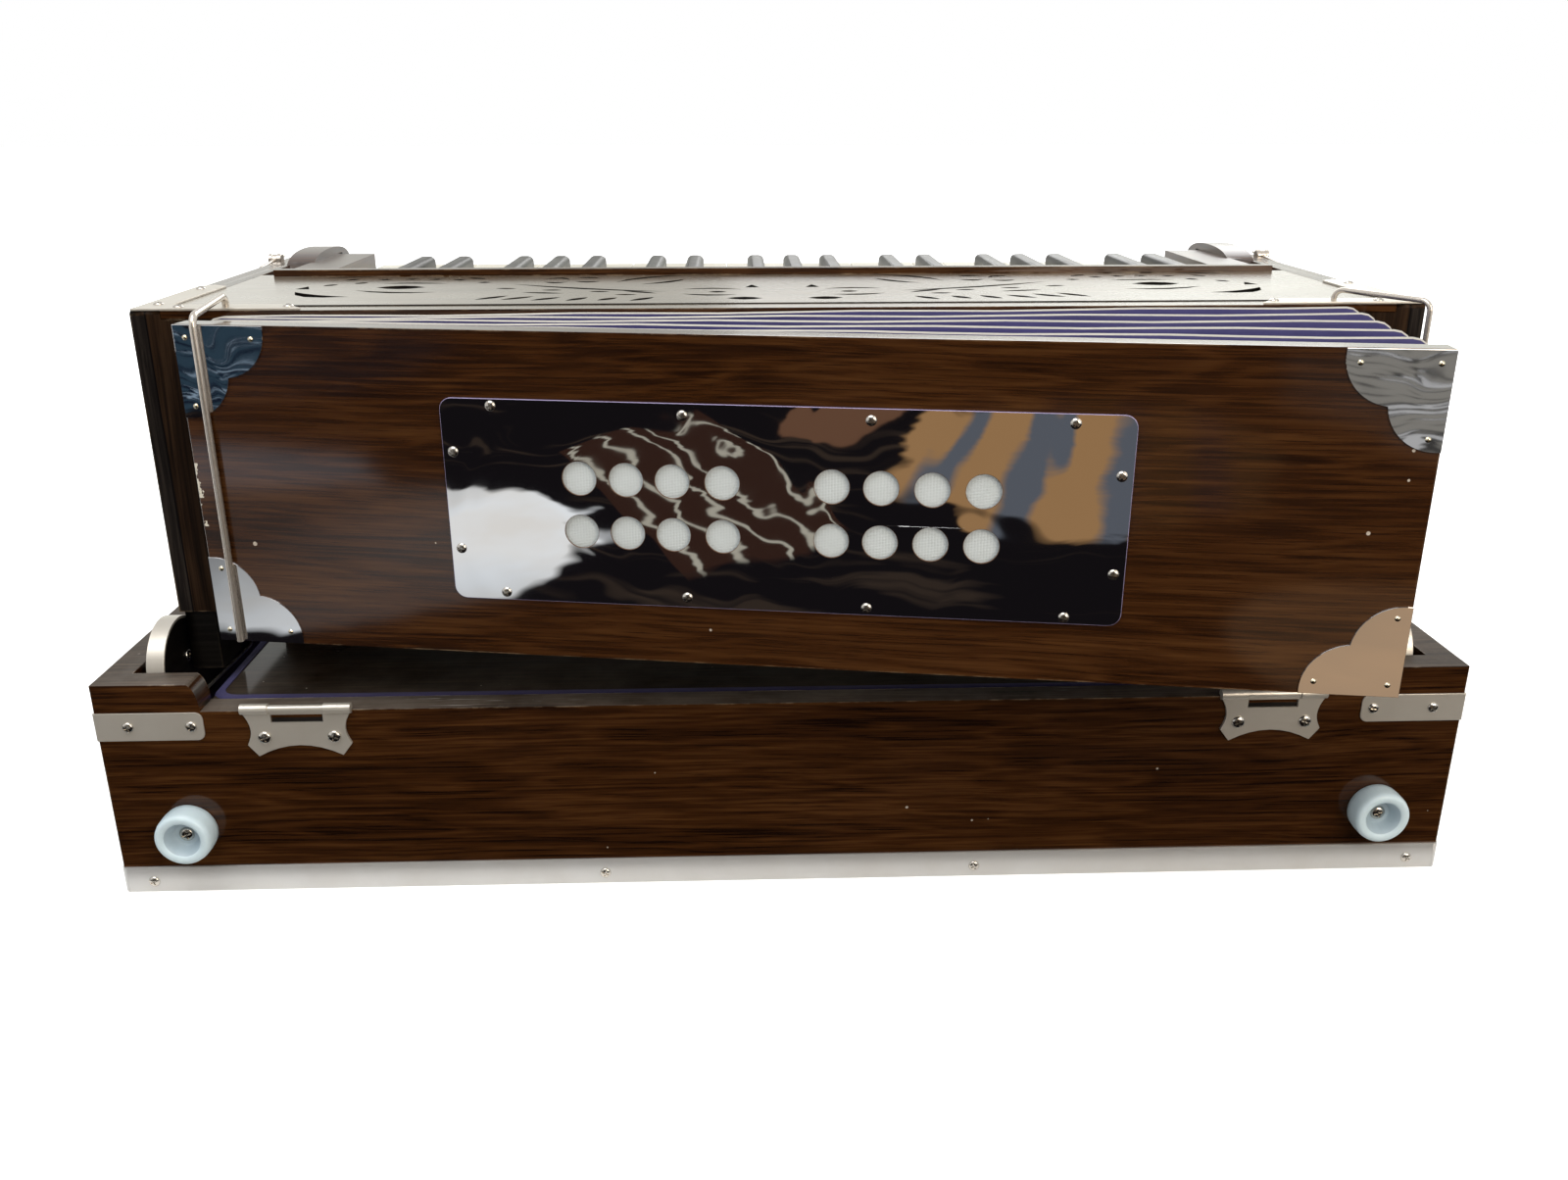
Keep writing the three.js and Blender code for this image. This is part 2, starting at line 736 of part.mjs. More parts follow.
function makeReedBoard() {
  const x = innerHalf - seatGap;
  const blank = board(-x, x, reedBack, reedFront, bedUnderside, reedTop);
  const slotStart = leverBack + (palletLength - reedSlotLength) / 2;
  const slotEnd = slotStart + reedSlotLength;
  const half = reedSlotWidth / 2;
  const slots = [...whiteLeverPlaces(), ...sharpPlaces()].map((place) =>
    board(place - half, place + half, slotStart, slotEnd, bedUnderside - overrun, reedTop + overrun),
  );
  addNode('reed_board', geometryOf(cut(blank, ...slots)), rawWood);
}

// The ridge that every key rocks on
function makeBalanceRail() {
  const outline = new THREE.Shape();
  outline.moveTo(pivotY - railDepth / 2, keyBedTop);
  outline.lineTo(pivotY + railDepth / 2, keyBedTop);
  outline.lineTo(pivotY + railDepth / 2, keyBedTop + railShoulder);
  outline.lineTo(pivotY, pivotZ);
  outline.lineTo(pivotY - railDepth / 2, keyBedTop + railShoulder);
  const half = cheekStart - seatGap;
  addNode('balance_rail', spread(outline, 2 * half, -half), rawWood);
}

// Keyboard places; the player sits at +Y, so the lowest key is at +X
function keyX(whites) {
  return keySpan / 2 - whites * keyPitch;
}

function sharpSteps() {
  const steps = [];
  for (let octave = 0; octave * octaveWhites < whiteKeys; octave += 1) {
    for (const share of sharpPlaceShares) {
      const step = octave * octaveWhites + share;
      if (step < whiteKeys - 1) steps.push(step);
    }
  }
  return steps;
}

function sharpPlaces() {
  return sharpSteps().map(keyX);
}

// The room a white key has beside the sharps, from its lower edge to its upper edge
function whiteTail(index) {
  const reach = (sharpWidth / 2 + sharpSideGap) / keyPitch;
  let low = index + keySideGap / keyPitch / 2;
  let high = index + 1 - keySideGap / keyPitch / 2;
  for (const step of sharpSteps()) {
    if (step < index + 0.5 && step + reach > low) low = step + reach;
    if (step > index + 0.5 && step - reach < high) high = step - reach;
  }
  return [keyX(high), keyX(low)];
}

function whiteLeverPlaces() {
  return Array.from({ length: whiteKeys }, (_, index) => {
    const [left, right] = whiteTail(index);
    return (left + right) / 2;
  });
}

// The hidden lever with its pallet, shared by both kinds of key
function keyLever(x) {
  return [
    board(x - leverWidth / 2, x + leverWidth / 2, leverBack, keyBack + leverLap, keyBottom, keyBottom + leverHeight),
    board(
      x - palletWidth / 2,
      x + palletWidth / 2,
      leverBack,
      leverBack + palletLength,
      keyBottom - palletThickness,
      keyBottom + overrun,
    ),
  ];
}

function makeWhiteKey(index) {
  const [left, right] = whiteTail(index);
  const headBack = keyFront - whiteHeadLength;
  const headLeft = keyX(index + 1) + keySideGap / 2;
  const headRight = keyX(index) - keySideGap / 2;
  const outline = new THREE.Shape();
  outline.moveTo(left, keyBack);
  outline.lineTo(right, keyBack);
  outline.lineTo(right, headBack);
  outline.lineTo(headRight, headBack);
  outline.lineTo(headRight, keyFront);
  outline.lineTo(headLeft, keyFront);
  outline.lineTo(headLeft, headBack);
  outline.lineTo(left, headBack);
  const head = solidOf(raise(outline, whiteThickness, keyBottom));
  const whole = join(head, ...keyLever((left + right) / 2));
  addNode(`key_white_${String(index + 1).padStart(2, '0')}`, geometryOf(whole), ivory);
}

function makeSharpKey(x, index) {
  const front = keyBack + sharpExposed;
  const crown = keyTop + sharpRise;
  const outline = new THREE.Shape();
  outline.moveTo(keyBack, keyBottom);
  outline.lineTo(front, keyBottom);
  outline.lineTo(front, crown - sharpNose);
  outline.quadraticCurveTo(front, crown, front - sharpNose, crown);
  outline.lineTo(keyBack, crown);
  const head = solidOf(spread(outline, sharpWidth, x - sharpWidth / 2));
  addNode(`key_black_${String(index + 1).padStart(2, '0')}`, geometryOf(join(head, ...keyLever(x))), ebony);
}

// The bellows board turns about the left latch rod's leg
function makeBellowsPanel() {
  const group = new THREE.Group();
  group.position.set(latchX, latchY, 0);
  group.rotation.z = -THREE.MathUtils.degToRad(bellowsSwing);
  model.add(group);
  const left = -panelLatchInset;
  const front = rodDiameter / 2 + seatGap;
  const panel = board(left, left + panelLength, front, front + panelThickness, bodyFoot, bodyFoot + panelHeight);
  const windowX = left + plateStart + plateLength / 2;
  const windowZ = bodyFoot + plateFoot + plateHeight / 2;
  const opening = board(
    windowX - plateLength / 2 + windowBorderX,
    windowX + plateLength / 2 - windowBorderX,
    front - overrun,
    front + panelThickness + overrun,
    windowZ - plateHeight / 2 + windowBorderZ,
    windowZ + plateHeight / 2 - windowBorderZ,
  );
  addNode('bellows_panel', geometryOf(cut(panel, opening)), lacquer, group);
  addNode('valve_plate', valvePlate(left + plateStart, bodyFoot + plateFoot, front), mirrorSteel, group);
}

function valvePlate(x, z, front) {
  const outline = rectangle(x, x + plateLength, z, z + plateHeight, plateCornerRadius);
  for (const row of airHoleRowShares) {
    for (const column of airHoleColumnShares) {
      outline.holes.push(circle(x + column * plateLength, z + row * plateHeight, airHoleDiameter / 2));
    }
  }
  return stand(outline, plateThickness, front - plateThickness - seatGap, holeSegments / 2);
}

// Pleated cloth from the body's back wall to the swung board
function makeBellowsCloth() {
  const swing = THREE.MathUtils.degToRad(bellowsSwing);
  const along = new THREE.Vector3(Math.cos(swing), -Math.sin(swing), 0);
  const inward = new THREE.Vector3(Math.sin(swing), Math.cos(swing), 0);
  const reach = rodDiameter / 2 + seatGap + panelThickness + seatGap;
  const latch = new THREE.Vector3(latchX, latchY, 0);
  const onPanel = (u) => latch.clone().addScaledVector(along, u).addScaledVector(inward, reach);
  const panelLeft = clothInset - panelLatchInset;
  const panelRight = panelLength - panelLatchInset - clothInset;
  const low = bodyFoot + clothInset;
  const high = bodyFoot + panelHeight + foldRise;
  const ring = (share, inset) => {
    const left = onPanel(panelLeft + inset);
    const right = onPanel(panelRight - inset);
    const leftX = latchX + panelLeft + inset;
    const rightX = latchX + panelRight + foldSpread - inset;
    const wallY = bodyBack - seatGap;
    const at = (x, y, z) => [x, y, z];
    const a = [THREE.MathUtils.lerp(leftX, left.x, share), THREE.MathUtils.lerp(wallY, left.y, share)];
    const b = [THREE.MathUtils.lerp(rightX, right.x, share), THREE.MathUtils.lerp(wallY, right.y, share)];
    return [at(...a, low + inset), at(...b, low + inset), at(...b, high - inset), at(...a, high - inset)];
  };
  const stations = 2 * foldCount;
  const endInset = foldDepth + clothThickness;
  const outer = [];
  const inner = [ring(-1 / stations, endInset)];
  for (let step = 0; step <= stations; step += 1) {
    const inset = step % 2 === 0 ? foldDepth : 0;
    outer.push(ring(step / stations, inset));
    inner.push(ring(step / stations, inset + clothThickness));
  }
  inner.push(ring(1 + 1 / stations, endInset));
  const cloth = cut(solidOf(loft(outer)), solidOf(loft(inner)));
  addNode('bellows_cloth', geometryOf(cloth), indigoCloth);
}

// A bent rod: a post in its socket, an arm above the top and a leg down the bellows board
function latchRodGeometry() {
  const path = new THREE.CurvePath();
  const foot = new THREE.Vector3(0, 0, bodyTop - rodSocketDepth);
  const top = new THREE.Vector3(0, 0, rodHeight);
  const elbow = new THREE.Vector3(0, -rodReach, rodHeight);
  const end = new THREE.Vector3(0, -rodReach, bodyFoot + rodFootGap);
  const towards = (from, to, distance) =>
    from.clone().addScaledVector(to.clone().sub(from).normalize(), distance);
  const topIn = towards(top, foot, rodBend);
  const topOut = towards(top, elbow, rodBend);
  const elbowIn = towards(elbow, top, rodBend);
  const elbowOut = towards(elbow, end, rodBend);
  path.add(new THREE.LineCurve3(foot, topIn));
  path.add(new THREE.QuadraticBezierCurve3(topIn, top, topOut));
  path.add(new THREE.LineCurve3(topOut, elbowIn));
  path.add(new THREE.QuadraticBezierCurve3(elbowIn, elbow, elbowOut));
  path.add(new THREE.LineCurve3(elbowOut, end));
  const section = new THREE.Shape();
  section.absarc(0, 0, rodDiameter / 2, 0, 2 * Math.PI, false);
  return new THREE.ExtrudeGeometry(section, {
    steps: rodSteps,
    curveSegments: rodSides,
    bevelEnabled: false,
    extrudePath: path,
  });
}

function makeLatchRod(name, x, turn) {
  const mesh = addNode(name, latchRodGeometry(), satinSteel);
  mesh.position.set(x, rodPivotY, 0);
  mesh.rotation.z = THREE.MathUtils.degToRad(turn);
}

// A tapered lever with a round head, in Y and Z about its pivot
function liftLeverOutline() {
  const lie = THREE.MathUtils.degToRad(leverLie);
  const taper = Math.acos((leverHeadRadius - leverTipRadius) / leverArm);
  const tipY = leverArm * Math.cos(lie);
  const tipZ = leverArm * Math.sin(lie);
  const outline = new THREE.Shape();
  outline.absarc(0, 0, leverHeadRadius, lie + taper, lie - taper + 2 * Math.PI, false);
  outline.absarc(tipY, tipZ, leverTipRadius, lie - taper, lie + taper, false);
  return outline;
}

function makeLiftLever(name, side) {
  const inner = leverOuter - leverPlateWidth;
  const start = side > 0 ? inner : -leverOuter;
  const plate = solidOf(spread(liftLeverOutline(), leverPlateWidth, start, roundSegments / 2));
  const wall = trayLength / 2 - trayWall - seatGap;
  const pinX = [side * (leverOuter - overrun), side * wall].sort((a, b) => a - b);
  const pin = solidOf(rodAlongX(leverPinRadius, ...pinX, 0, 0));
  const mesh = addNode(name, geometryOf(join(plate, pin)), satinSteel);
  mesh.position.set(0, leverPivotY, leverPivotHeight);
}

makeTray();
makeFootStrip();
for (const [name, side] of [['left', -1], ['right', 1]]) {
  makeLidHinge(`lid_hinge_${name}`, side * (trayLength / 2 - hingeInset));
  makeBuffer(`back_buffer_${name}`, side * (trayLength / 2 - bufferInset));
  makeLiftLever(`lift_lever_${name}`, side);
}
makeReservoir();
makeBodyCase();
makeFretworkTop();
makeReedBoard();
makeBalanceRail();
makeBellowsPanel();
makeBellowsCloth();
makeLatchRod('latch_rod_left', -rodPivotX, latchedAngle);
makeLatchRod('latch_rod_right', rodPivotX, swungAngle);
for (let index = 0; index < whiteKeys; index += 1) makeWhiteKey(index);
sharpPlaces().forEach(makeSharpKey);

export default model;
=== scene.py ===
"""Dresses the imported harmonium: lacquered wood, steel fittings, folded cloth, keys and a studio.

Sizes are in millimetres in the part's own frame and become metres as a piece is placed.
X runs along the keyboard, -Y is the bellows side and +Z is up.
"""

import logging
import math
from contextlib import contextmanager
from dataclasses import dataclass, field
from enum import Enum
from typing import Callable, Iterator, Optional, Sequence, Union

import bmesh
import bpy
from mathutils import Matrix, Vector


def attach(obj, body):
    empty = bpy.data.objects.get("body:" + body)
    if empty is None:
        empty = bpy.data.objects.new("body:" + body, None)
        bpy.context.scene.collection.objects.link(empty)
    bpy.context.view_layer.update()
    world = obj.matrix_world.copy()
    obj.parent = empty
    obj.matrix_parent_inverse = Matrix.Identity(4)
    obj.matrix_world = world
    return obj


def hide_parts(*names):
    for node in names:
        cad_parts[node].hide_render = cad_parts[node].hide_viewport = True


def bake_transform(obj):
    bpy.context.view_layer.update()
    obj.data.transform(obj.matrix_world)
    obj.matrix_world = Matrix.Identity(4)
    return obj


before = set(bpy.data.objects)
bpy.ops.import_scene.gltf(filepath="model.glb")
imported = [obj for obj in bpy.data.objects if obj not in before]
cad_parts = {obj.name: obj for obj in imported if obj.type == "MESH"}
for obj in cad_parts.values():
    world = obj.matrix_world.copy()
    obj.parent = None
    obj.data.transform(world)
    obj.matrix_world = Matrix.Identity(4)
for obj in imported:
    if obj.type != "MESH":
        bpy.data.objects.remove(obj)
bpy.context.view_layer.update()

MM = 0.001
LOG = logging.getLogger("harmonium")

MERGE, CURVE_MERGE, MIRROR_MERGE, SLIVER = 0.00001, 0.000002, 0.0000001, 0.000005
SIDES = ((-1, "left"), (1, "right"))
CORNERS = ((-1, -1), (-1, 1), (1, -1), (1, 1))

Piece = bpy.types.Object
Face = bpy.types.MeshPolygon
Edge = bmesh.types.BMEdge
Point = tuple[float, ...]
Colour = tuple[float, float, float]


class Body(str, Enum):
    """The moving bodies that pieces ride on."""

    CASE = "case"
    BELLOWS = "bellows_board"
    LATCH_LEFT = "latch_left"
    LATCH_RIGHT = "latch_right"
    LEVER_LEFT = "lever_left"
    LEVER_RIGHT = "lever_right"


class Finish(str, Enum):
    """The finishes that surfaces can have."""

    ROSEWOOD = "rosewood_lacquer"
    PANEL_WOOD = "panel_lacquer"
    TOP_WOOD = "top_lacquer"
    DUSTY_BOARD = "dusty_board"
    WORN_RIM = "worn_rim"
    STILE_WOOD = "stile_lacquer"
    EDGE_BLACK = "edge_black"
    CHEEK_WOOD = "cheek_lacquer"
    BARE_WOOD = "bare_wood"
    BLACK_BOARD = "black_board"
    WHITE_KEY = "white_key_facing"
    BLACK_KEY = "black_key_polish"
    SATIN_STEEL = "satin_steel"
    SCREW_STEEL = "screw_steel"
    MIRROR_STEEL = "mirror_steel"
    FILM_EDGE = "film_edge"
    HOLE_RIM = "hole_rim_painted_shade"
    ROD_STEEL = "rod_steel"
    FOOT_STEEL = "foot_steel"
    BRASS = "brass_pin"
    NYLON = "white_nylon"
    NYLON_SHADE = "nylon_in_the_dish"
    CLOTH = "indigo_cloth"
    RIDGE = "cream_ridge"
    FELT = "white_felt"


# Places and outlines


def spin(degrees: float, axis: str = "Z") -> Matrix:
    """A turn about an axis through the origin."""
    return Matrix.Rotation(math.radians(degrees), 4, axis)


def shift(x: float, y: float, z: float) -> Matrix:
    """A move in millimetres."""
    return Matrix.Translation(Vector((x, y, z)) * MM)


def way(side: int, axis: str) -> str:
    """The outward direction along an axis on one side, such as -X."""
    return ("-" if side < 0 else "+") + axis


def place(position: Point, facing: str = "+Z", base: Optional[Matrix] = None) -> Matrix:
    """A matrix that carries a piece made on the XY plane to a face of the instrument.

    Args:
        position: where the piece's origin goes, in millimetres.
        facing: the way its +Z points, one of +Z, -Y, +Y, -X, +X.
        base: the frame that the position and facing are given in, or None for the part's.

    Returns:
        The matrix, in metres.
    """
    turns = {"-Y": 0, "+Y": 180, "-X": -90, "+X": 90}
    local = shift(*position)
    if facing in turns:
        local = local @ spin(turns[facing]) @ spin(90, "X")
    return local if base is None else base @ local


def arc(centre: Point, radius: float, start: float, end: float, steps: int) -> list[Point]:
    """Points along an arc, both ends included.

    Args:
        centre: the arc's centre.
        radius: its radius.
        start: its first angle in degrees.
        end: its last angle in degrees.
        steps: how many spans it has.

    Returns:
        The points, in order.
    """
    spans = [math.radians(start + (end - start) * step / steps) for step in range(steps + 1)]
    return [(centre[0] + radius * math.cos(a), centre[1] + radius * math.sin(a)) for a in spans]


def rounded_rectangle(x0: float, x1: float, y0: float, y1: float, radius: float, steps: int = 6) -> list[Point]:
    """The outline of a rectangle with round corners, anticlockwise.

    Args:
        x0: its left side.
        x1: its right side.
        y0: its lower side.
        y1: its upper side.
        radius: the radius of its corners.
        steps: how many spans a corner has.

    Returns:
        The points, in order.
    """
    left, right, low, high = x0 + radius, x1 - radius, y0 + radius, y1 - radius
    corners = (((right, low), -90), ((right, high), 0), ((left, high), 90), ((left, low), 180))
    return [point for centre, start in corners for point in arc(centre, radius, start, start + 90, steps)]


def flipped(outline: Sequence[Point], across: int, along: int) -> list[Point]:
    """An outline mirrored in X, in Y or in both, still anticlockwise."""
    points = [(x * across, y * along) for x, y in outline]
    return points if across * along > 0 else points[::-1]


def ring_hole(x: float, y: float, radius: float, steps: int = 40) -> list[Point]:
    """The outline of a round hole."""
    return arc((x, y), radius, 0, 360 * (steps - 1) / steps, steps - 1)


# Modelling


class Bench:
    """The modelling bench: operators that make, shape and finish a mesh."""

    @staticmethod
    def clear() -> None:
        """Deselect everything."""
        bpy.ops.object.select_all(action="DESELECT")

    @classmethod
    def only(cls, piece: Piece) -> None:
        """Select and activate one piece."""
        cls.clear()
        piece.select_set(True)
        bpy.context.view_layer.objects.active = piece

    @classmethod
    @contextmanager
    def editing(cls, piece: Piece) -> Iterator[bmesh.types.BMesh]:
        """Open a piece in edit mode with all of it selected.

        Args:
            piece: the mesh object to edit.

        Yields:
            Its edit mesh; selections made in it are kept.
        """
        cls.only(piece)
        bpy.ops.object.mode_set(mode="EDIT")
        bpy.ops.mesh.select_mode(type="VERT")
        bpy.ops.mesh.select_all(action="SELECT")
        try:
            yield bmesh.from_edit_mesh(piece.data)
        finally:
            bpy.ops.object.mode_set(mode="OBJECT")

    @classmethod
    @contextmanager
    def picking(cls, piece: Piece, test: Callable[[Edge], bool]) -> Iterator[None]:
        """Open a piece in edit mode with only those edges selected that pass a test.

        Args:
            piece: the mesh object to edit.
            test: whether an edge is picked.
        """
        with cls.editing(piece) as mesh:
            bpy.ops.mesh.select_mode(type="EDGE")
            bpy.ops.mesh.select_all(action="DESELECT")
            for line in mesh.edges:
                line.select = test(line)
            bmesh.update_edit_mesh(piece.data)
            yield

    @staticmethod
    def name(piece: Piece, name: str) -> Piece:
        """Name a piece and its mesh."""
        piece.name = piece.data.name = name
        return piece

    @staticmethod
    def lay_out(name: str, data: bpy.types.ID) -> Piece:
        """A new object in the scene for a mesh, a curve, a lamp or a camera."""
        piece = bpy.data.objects.new(name, data)
        bpy.context.collection.objects.link(piece)
        return piece

    @classmethod
    def settle(cls, piece: Piece, spot: Optional[Matrix] = None) -> Piece:
        """Put a piece in its place and fix the place into its mesh.

        Args:
            piece: the object to place.
            spot: where it goes, or None to keep it where it is.

        Returns:
            The piece, unturned at the origin.
        """
        cls.only(piece)
        if spot is not None:
            piece.matrix_world = spot @ piece.matrix_world
        bpy.ops.object.transform_apply(location=True, rotation=True, scale=True)
        return piece

    @classmethod
    def modify(cls, piece: Piece, kind: str, **settings: object) -> Piece:
        """Add a modifier, set it and apply it.

        Args:
            piece: the mesh object.
            kind: the modifier's type name.
            **settings: values for the modifier's own fields.

        Returns:
            The piece with the modifier applied.
        """
        cls.only(piece)
        bpy.ops.object.modifier_add(type=kind)
        modifier = piece.modifiers[-1]
        for key, value in settings.items():
            setattr(modifier, key, value)
        bpy.ops.object.modifier_apply(modifier=modifier.name)
        return piece

    @classmethod
    def smooth(cls, piece: Piece, degrees: float = 35.0) -> Piece:
        """Shade a piece smooth below an angle."""
        cls.only(piece)
        bpy.ops.object.shade_smooth_by_angle(angle=math.radians(degrees))
        return piece

    @classmethod
    def flatten(cls, piece: Piece) -> Piece:
        """Shade a piece smooth while its large faces stay optically flat."""
        return cls.modify(cls.smooth(piece, 50.0), "WEIGHTED_NORMAL", keep_sharp=True, weight=80)

    @classmethod
    def mirror(cls, piece: Piece, side: int, end: int) -> Piece:
        """Mirror a piece about the part's middle and shade it anew.

        Args:
            piece: the piece made for the left back corner.
            side: -1 to keep it on the left, 1 for the right.
            end: -1 to keep it at the back, 1 for the front.

        Returns:
            The mirrored piece.
        """
        if side < 0 and end < 0:
            return piece
        cls.settle(piece, Matrix.Diagonal((-side, -end, 1, 1)))
        bpy.ops.mesh.customdata_custom_splitnormals_clear()
        return cls.smooth(cls.tidy(piece, MIRROR_MERGE), 20)

    @classmethod
    def tidy(cls, piece: Piece, merge: float = MERGE) -> Piece:
        """Merge doubles and turn every face outwards."""
        with cls.editing(piece):
            bpy.ops.mesh.remove_doubles(threshold=merge)
            bpy.ops.mesh.normals_make_consistent(inside=False)
        return piece

    @classmethod
    def join(cls, name: str, pieces: Sequence[Piece]) -> Piece:
        """Join pieces into one object.

        Args:
            name: the joined piece's name.
            pieces: the objects to join, which stop existing.

        Returns:
            The joined object.
        """
        cls.clear()
        for piece in pieces:
            piece.select_set(True)
        bpy.context.view_layer.objects.active = pieces[0]
        if len(pieces) > 1:
            bpy.ops.object.join()
        return cls.name(pieces[0], name)

    @classmethod
    def block(cls, name: str, low: Point, high: Point, edge: float, segments: int = 2) -> Piece:
        """A board between two corners, with rounded edges.

        Args:
            name: the piece's name.
            low: its lowest corner in millimetres.
            high: its highest corner in millimetres.
            edge: the radius of its edges in millimetres, or 0 for sharp ones.
            segments: the steps in each rounded edge.

        Returns:
            The board, in place.
        """
        cls.clear()
        bpy.ops.mesh.primitive_cube_add(size=1, location=[(a + b) / 2 * MM for a, b in zip(low, high)])
        piece = cls.name(bpy.context.object, name)
        piece.scale = [(b - a) * MM for a, b in zip(low, high)]
        cls.settle(piece)
        if edge:
            with cls.editing(piece):
                bpy.ops.mesh.bevel(offset=edge * MM, segments=segments, affect="EDGES")
            cls.flatten(piece)
        return piece

    @classmethod
    def rings(cls, name: str, rings: Sequence[Sequence[Point]], caps: bool = True) -> Piece:
        """Extrude a loop of edges through a row of rings.

        Args:
            name: the piece's name.
            rings: loops of points in millimetres, each with as many points.
            caps: whether the first and the last loop are filled.

        Returns:
            The skin, with its faces turned outwards.
        """
        cls.clear()
        bpy.ops.mesh.primitive_circle_add(vertices=len(rings[0]), radius=1.0, fill_type="NOTHING")
        piece = cls.name(bpy.context.object, name)
        for vertex, point in zip(piece.data.vertices, rings[0]):
            vertex.co = Vector(point) * MM
        with cls.editing(piece):
            if caps:
                bpy.ops.mesh.edge_face_add()
            for before, after in zip(rings, rings[1:]):
                cls._extrude_loop(piece, before, after, caps)
        return cls.tidy(piece)

    @staticmethod
    def _extrude_loop(piece: Piece, before: Sequence[Point], after: Sequence[Point], filled: bool) -> None:
        """Extrude the selected loop, or the face that fills it, and move it to its next place."""
        extrude = bpy.ops.mesh.extrude_region_move if filled else bpy.ops.mesh.extrude_edges_move
        extrude()
        mesh = bmesh.from_edit_mesh(piece.data)
        places = {tuple(round(value * MM, 7) for value in old): new for old, new in zip(before, after)}
        for vertex in mesh.verts:
            if vertex.select:
                key = min(places, key=lambda old: (Vector(old) - vertex.co).length_squared)
                vertex.co = Vector(places[key]) * MM
        bmesh.update_edit_mesh(piece.data)

    @classmethod
    def turned(cls, name: str, profile: Sequence[Point], sides: int, spot: Optional[Matrix] = None) -> Piece:
        """A piece turned about +Z, from its foot to its crown.

        Args:
            name: the piece's name.
            profile: radius and height pairs in millimetres.
            sides: how many sides the turning has.
            spot: where it goes.

        Returns:
            The turned piece, shaded smooth.
        """
        turns = [2 * math.pi * side / sides for side in range(sides)]
        rings = [[(r * math.cos(turn), r * math.sin(turn), height) for turn in turns] for r, height in profile]
        piece = cls.rings(name, rings)
        if spot is not None:
            cls.settle(piece, spot)
        return cls.smooth(piece)

    @classmethod
    def from_curve(cls, name: str, loops: Sequence[Sequence[Point]], closed: bool, **settings: object) -> Piece:
        """A mesh made from a bevelled curve.

        Args:
            name: the piece's name.
            loops: rows of points in millimetres.
            closed: whether each row closes.
            **settings: values for the curve's own fields.

        Returns:
            The mesh, not yet merged.
        """
        cls.clear()
        curve = bpy.data.curves.new(name, "CURVE")
        for key, value in settings.items():
            setattr(curve, key, value)
        for loop in loops:
            spline = curve.splines.new("POLY")
            spline.points.add(len(loop) - 1)
            for knot, point in zip(spline.points, loop):
                knot.co = (*[value * MM for value in (*point, 0.0)[:3]], 1)
            spline.use_cyclic_u = closed
        cls.only(cls.lay_out(name, curve))
        bpy.ops.object.convert(target="MESH")
        return cls.name(bpy.context.object, name)

    @classmethod
    def sheet_metal(cls, name: str, loops: Sequence[Sequence[Point]], thickness: float, edge: float) -> Piece:
        """A flat plate with rounded edges, cut from an outline in X and Y; its foot lies at z 0.

        Args:
            name: the piece's name.
            loops: the outline, then each hole, as closed rows of points in millimetres.
            thickness: the plate's thickness in millimetres.
            edge: the radius of its edges in millimetres.

        Returns:
            The plate as a mesh.
        """
        extrude, rim = (thickness / 2 - edge) * MM, edge * MM
        shape = {"dimensions": "2D", "fill_mode": "BOTH", "extrude": extrude, "bevel_depth": rim}
        piece = cls.from_curve(name, loops, True, **shape, bevel_resolution=1, offset=-rim)
        cls.tidy(cls.settle(piece, shift(0, 0, thickness / 2)), CURVE_MERGE)
        with cls.editing(piece):
            bpy.ops.mesh.dissolve_degenerate(threshold=SLIVER)
        return cls.smooth(piece, 20)

    @classmethod
    def wire(cls, name: str, points: Sequence[Point], radius: float, sides: int = 4) -> Piece:
        """A round bar bent along a row of points in millimetres.

        Args:
            name: the piece's name.
            points: the bar's middle line.
            radius: the bar's radius in millimetres.
            sides: the bevel resolution of the bar.

        Returns:
            The bar as a closed mesh.
        """
        shape = {"dimensions": "3D", "bevel_depth": radius * MM, "bevel_resolution": sides}
        return cls.smooth(cls.tidy(cls.from_curve(name, [points], False, **shape, use_fill_caps=True), CURVE_MERGE))

    @classmethod
    def copy_of(cls, node: str, name: str, flat: float = 0.5) -> Piece:
        """A copy of a CAD node, with its loose triangles merged into clean faces.

        Args:
            node: the CAD node to copy.
            name: the copy's name.
            flat: the angle in degrees below which faces become one.

        Returns:
            The copy, on no body yet.
        """
        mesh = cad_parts[node].data.copy()
        mesh.materials.clear()
        piece = cls.lay_out(name, mesh)
        with cls.editing(piece):
            bpy.ops.mesh.remove_doubles(threshold=MERGE)
            bpy.ops.mesh.dissolve_limited(angle_limit=math.radians(flat))
        return cls.name(piece, name)

    @classmethod
    def ease(
        cls, piece: Piece, edge: float, segments: int = 2, shortest: float = 0.0, sharp: float = 50.0
    ) -> Piece:
        """Round the sharp edges of a piece.

        Args:
            piece: the piece to round.
            edge: the radius in millimetres.
            segments: the steps of each rounded edge.
            shortest: edges shorter than this many millimetres stay sharp.
            sharp: the angle in degrees from which an edge counts as sharp.

        Returns:
            The piece, shaded smooth by angle.
        """

        def to_round(line: Edge) -> bool:
            """Whether an edge is sharp and long enough."""
            return line.calc_face_angle(0.0) > math.radians(sharp) and line.calc_length() > shortest * MM

        with cls.picking(piece, to_round):
            bpy.ops.transform.edge_bevelweight(value=1)
        bevel = {"width": edge * MM, "segments": segments, "limit_method": "WEIGHT", "harden_normals": False}
        return cls.flatten(cls.modify(piece, "BEVEL", **bevel))


# Node wiring


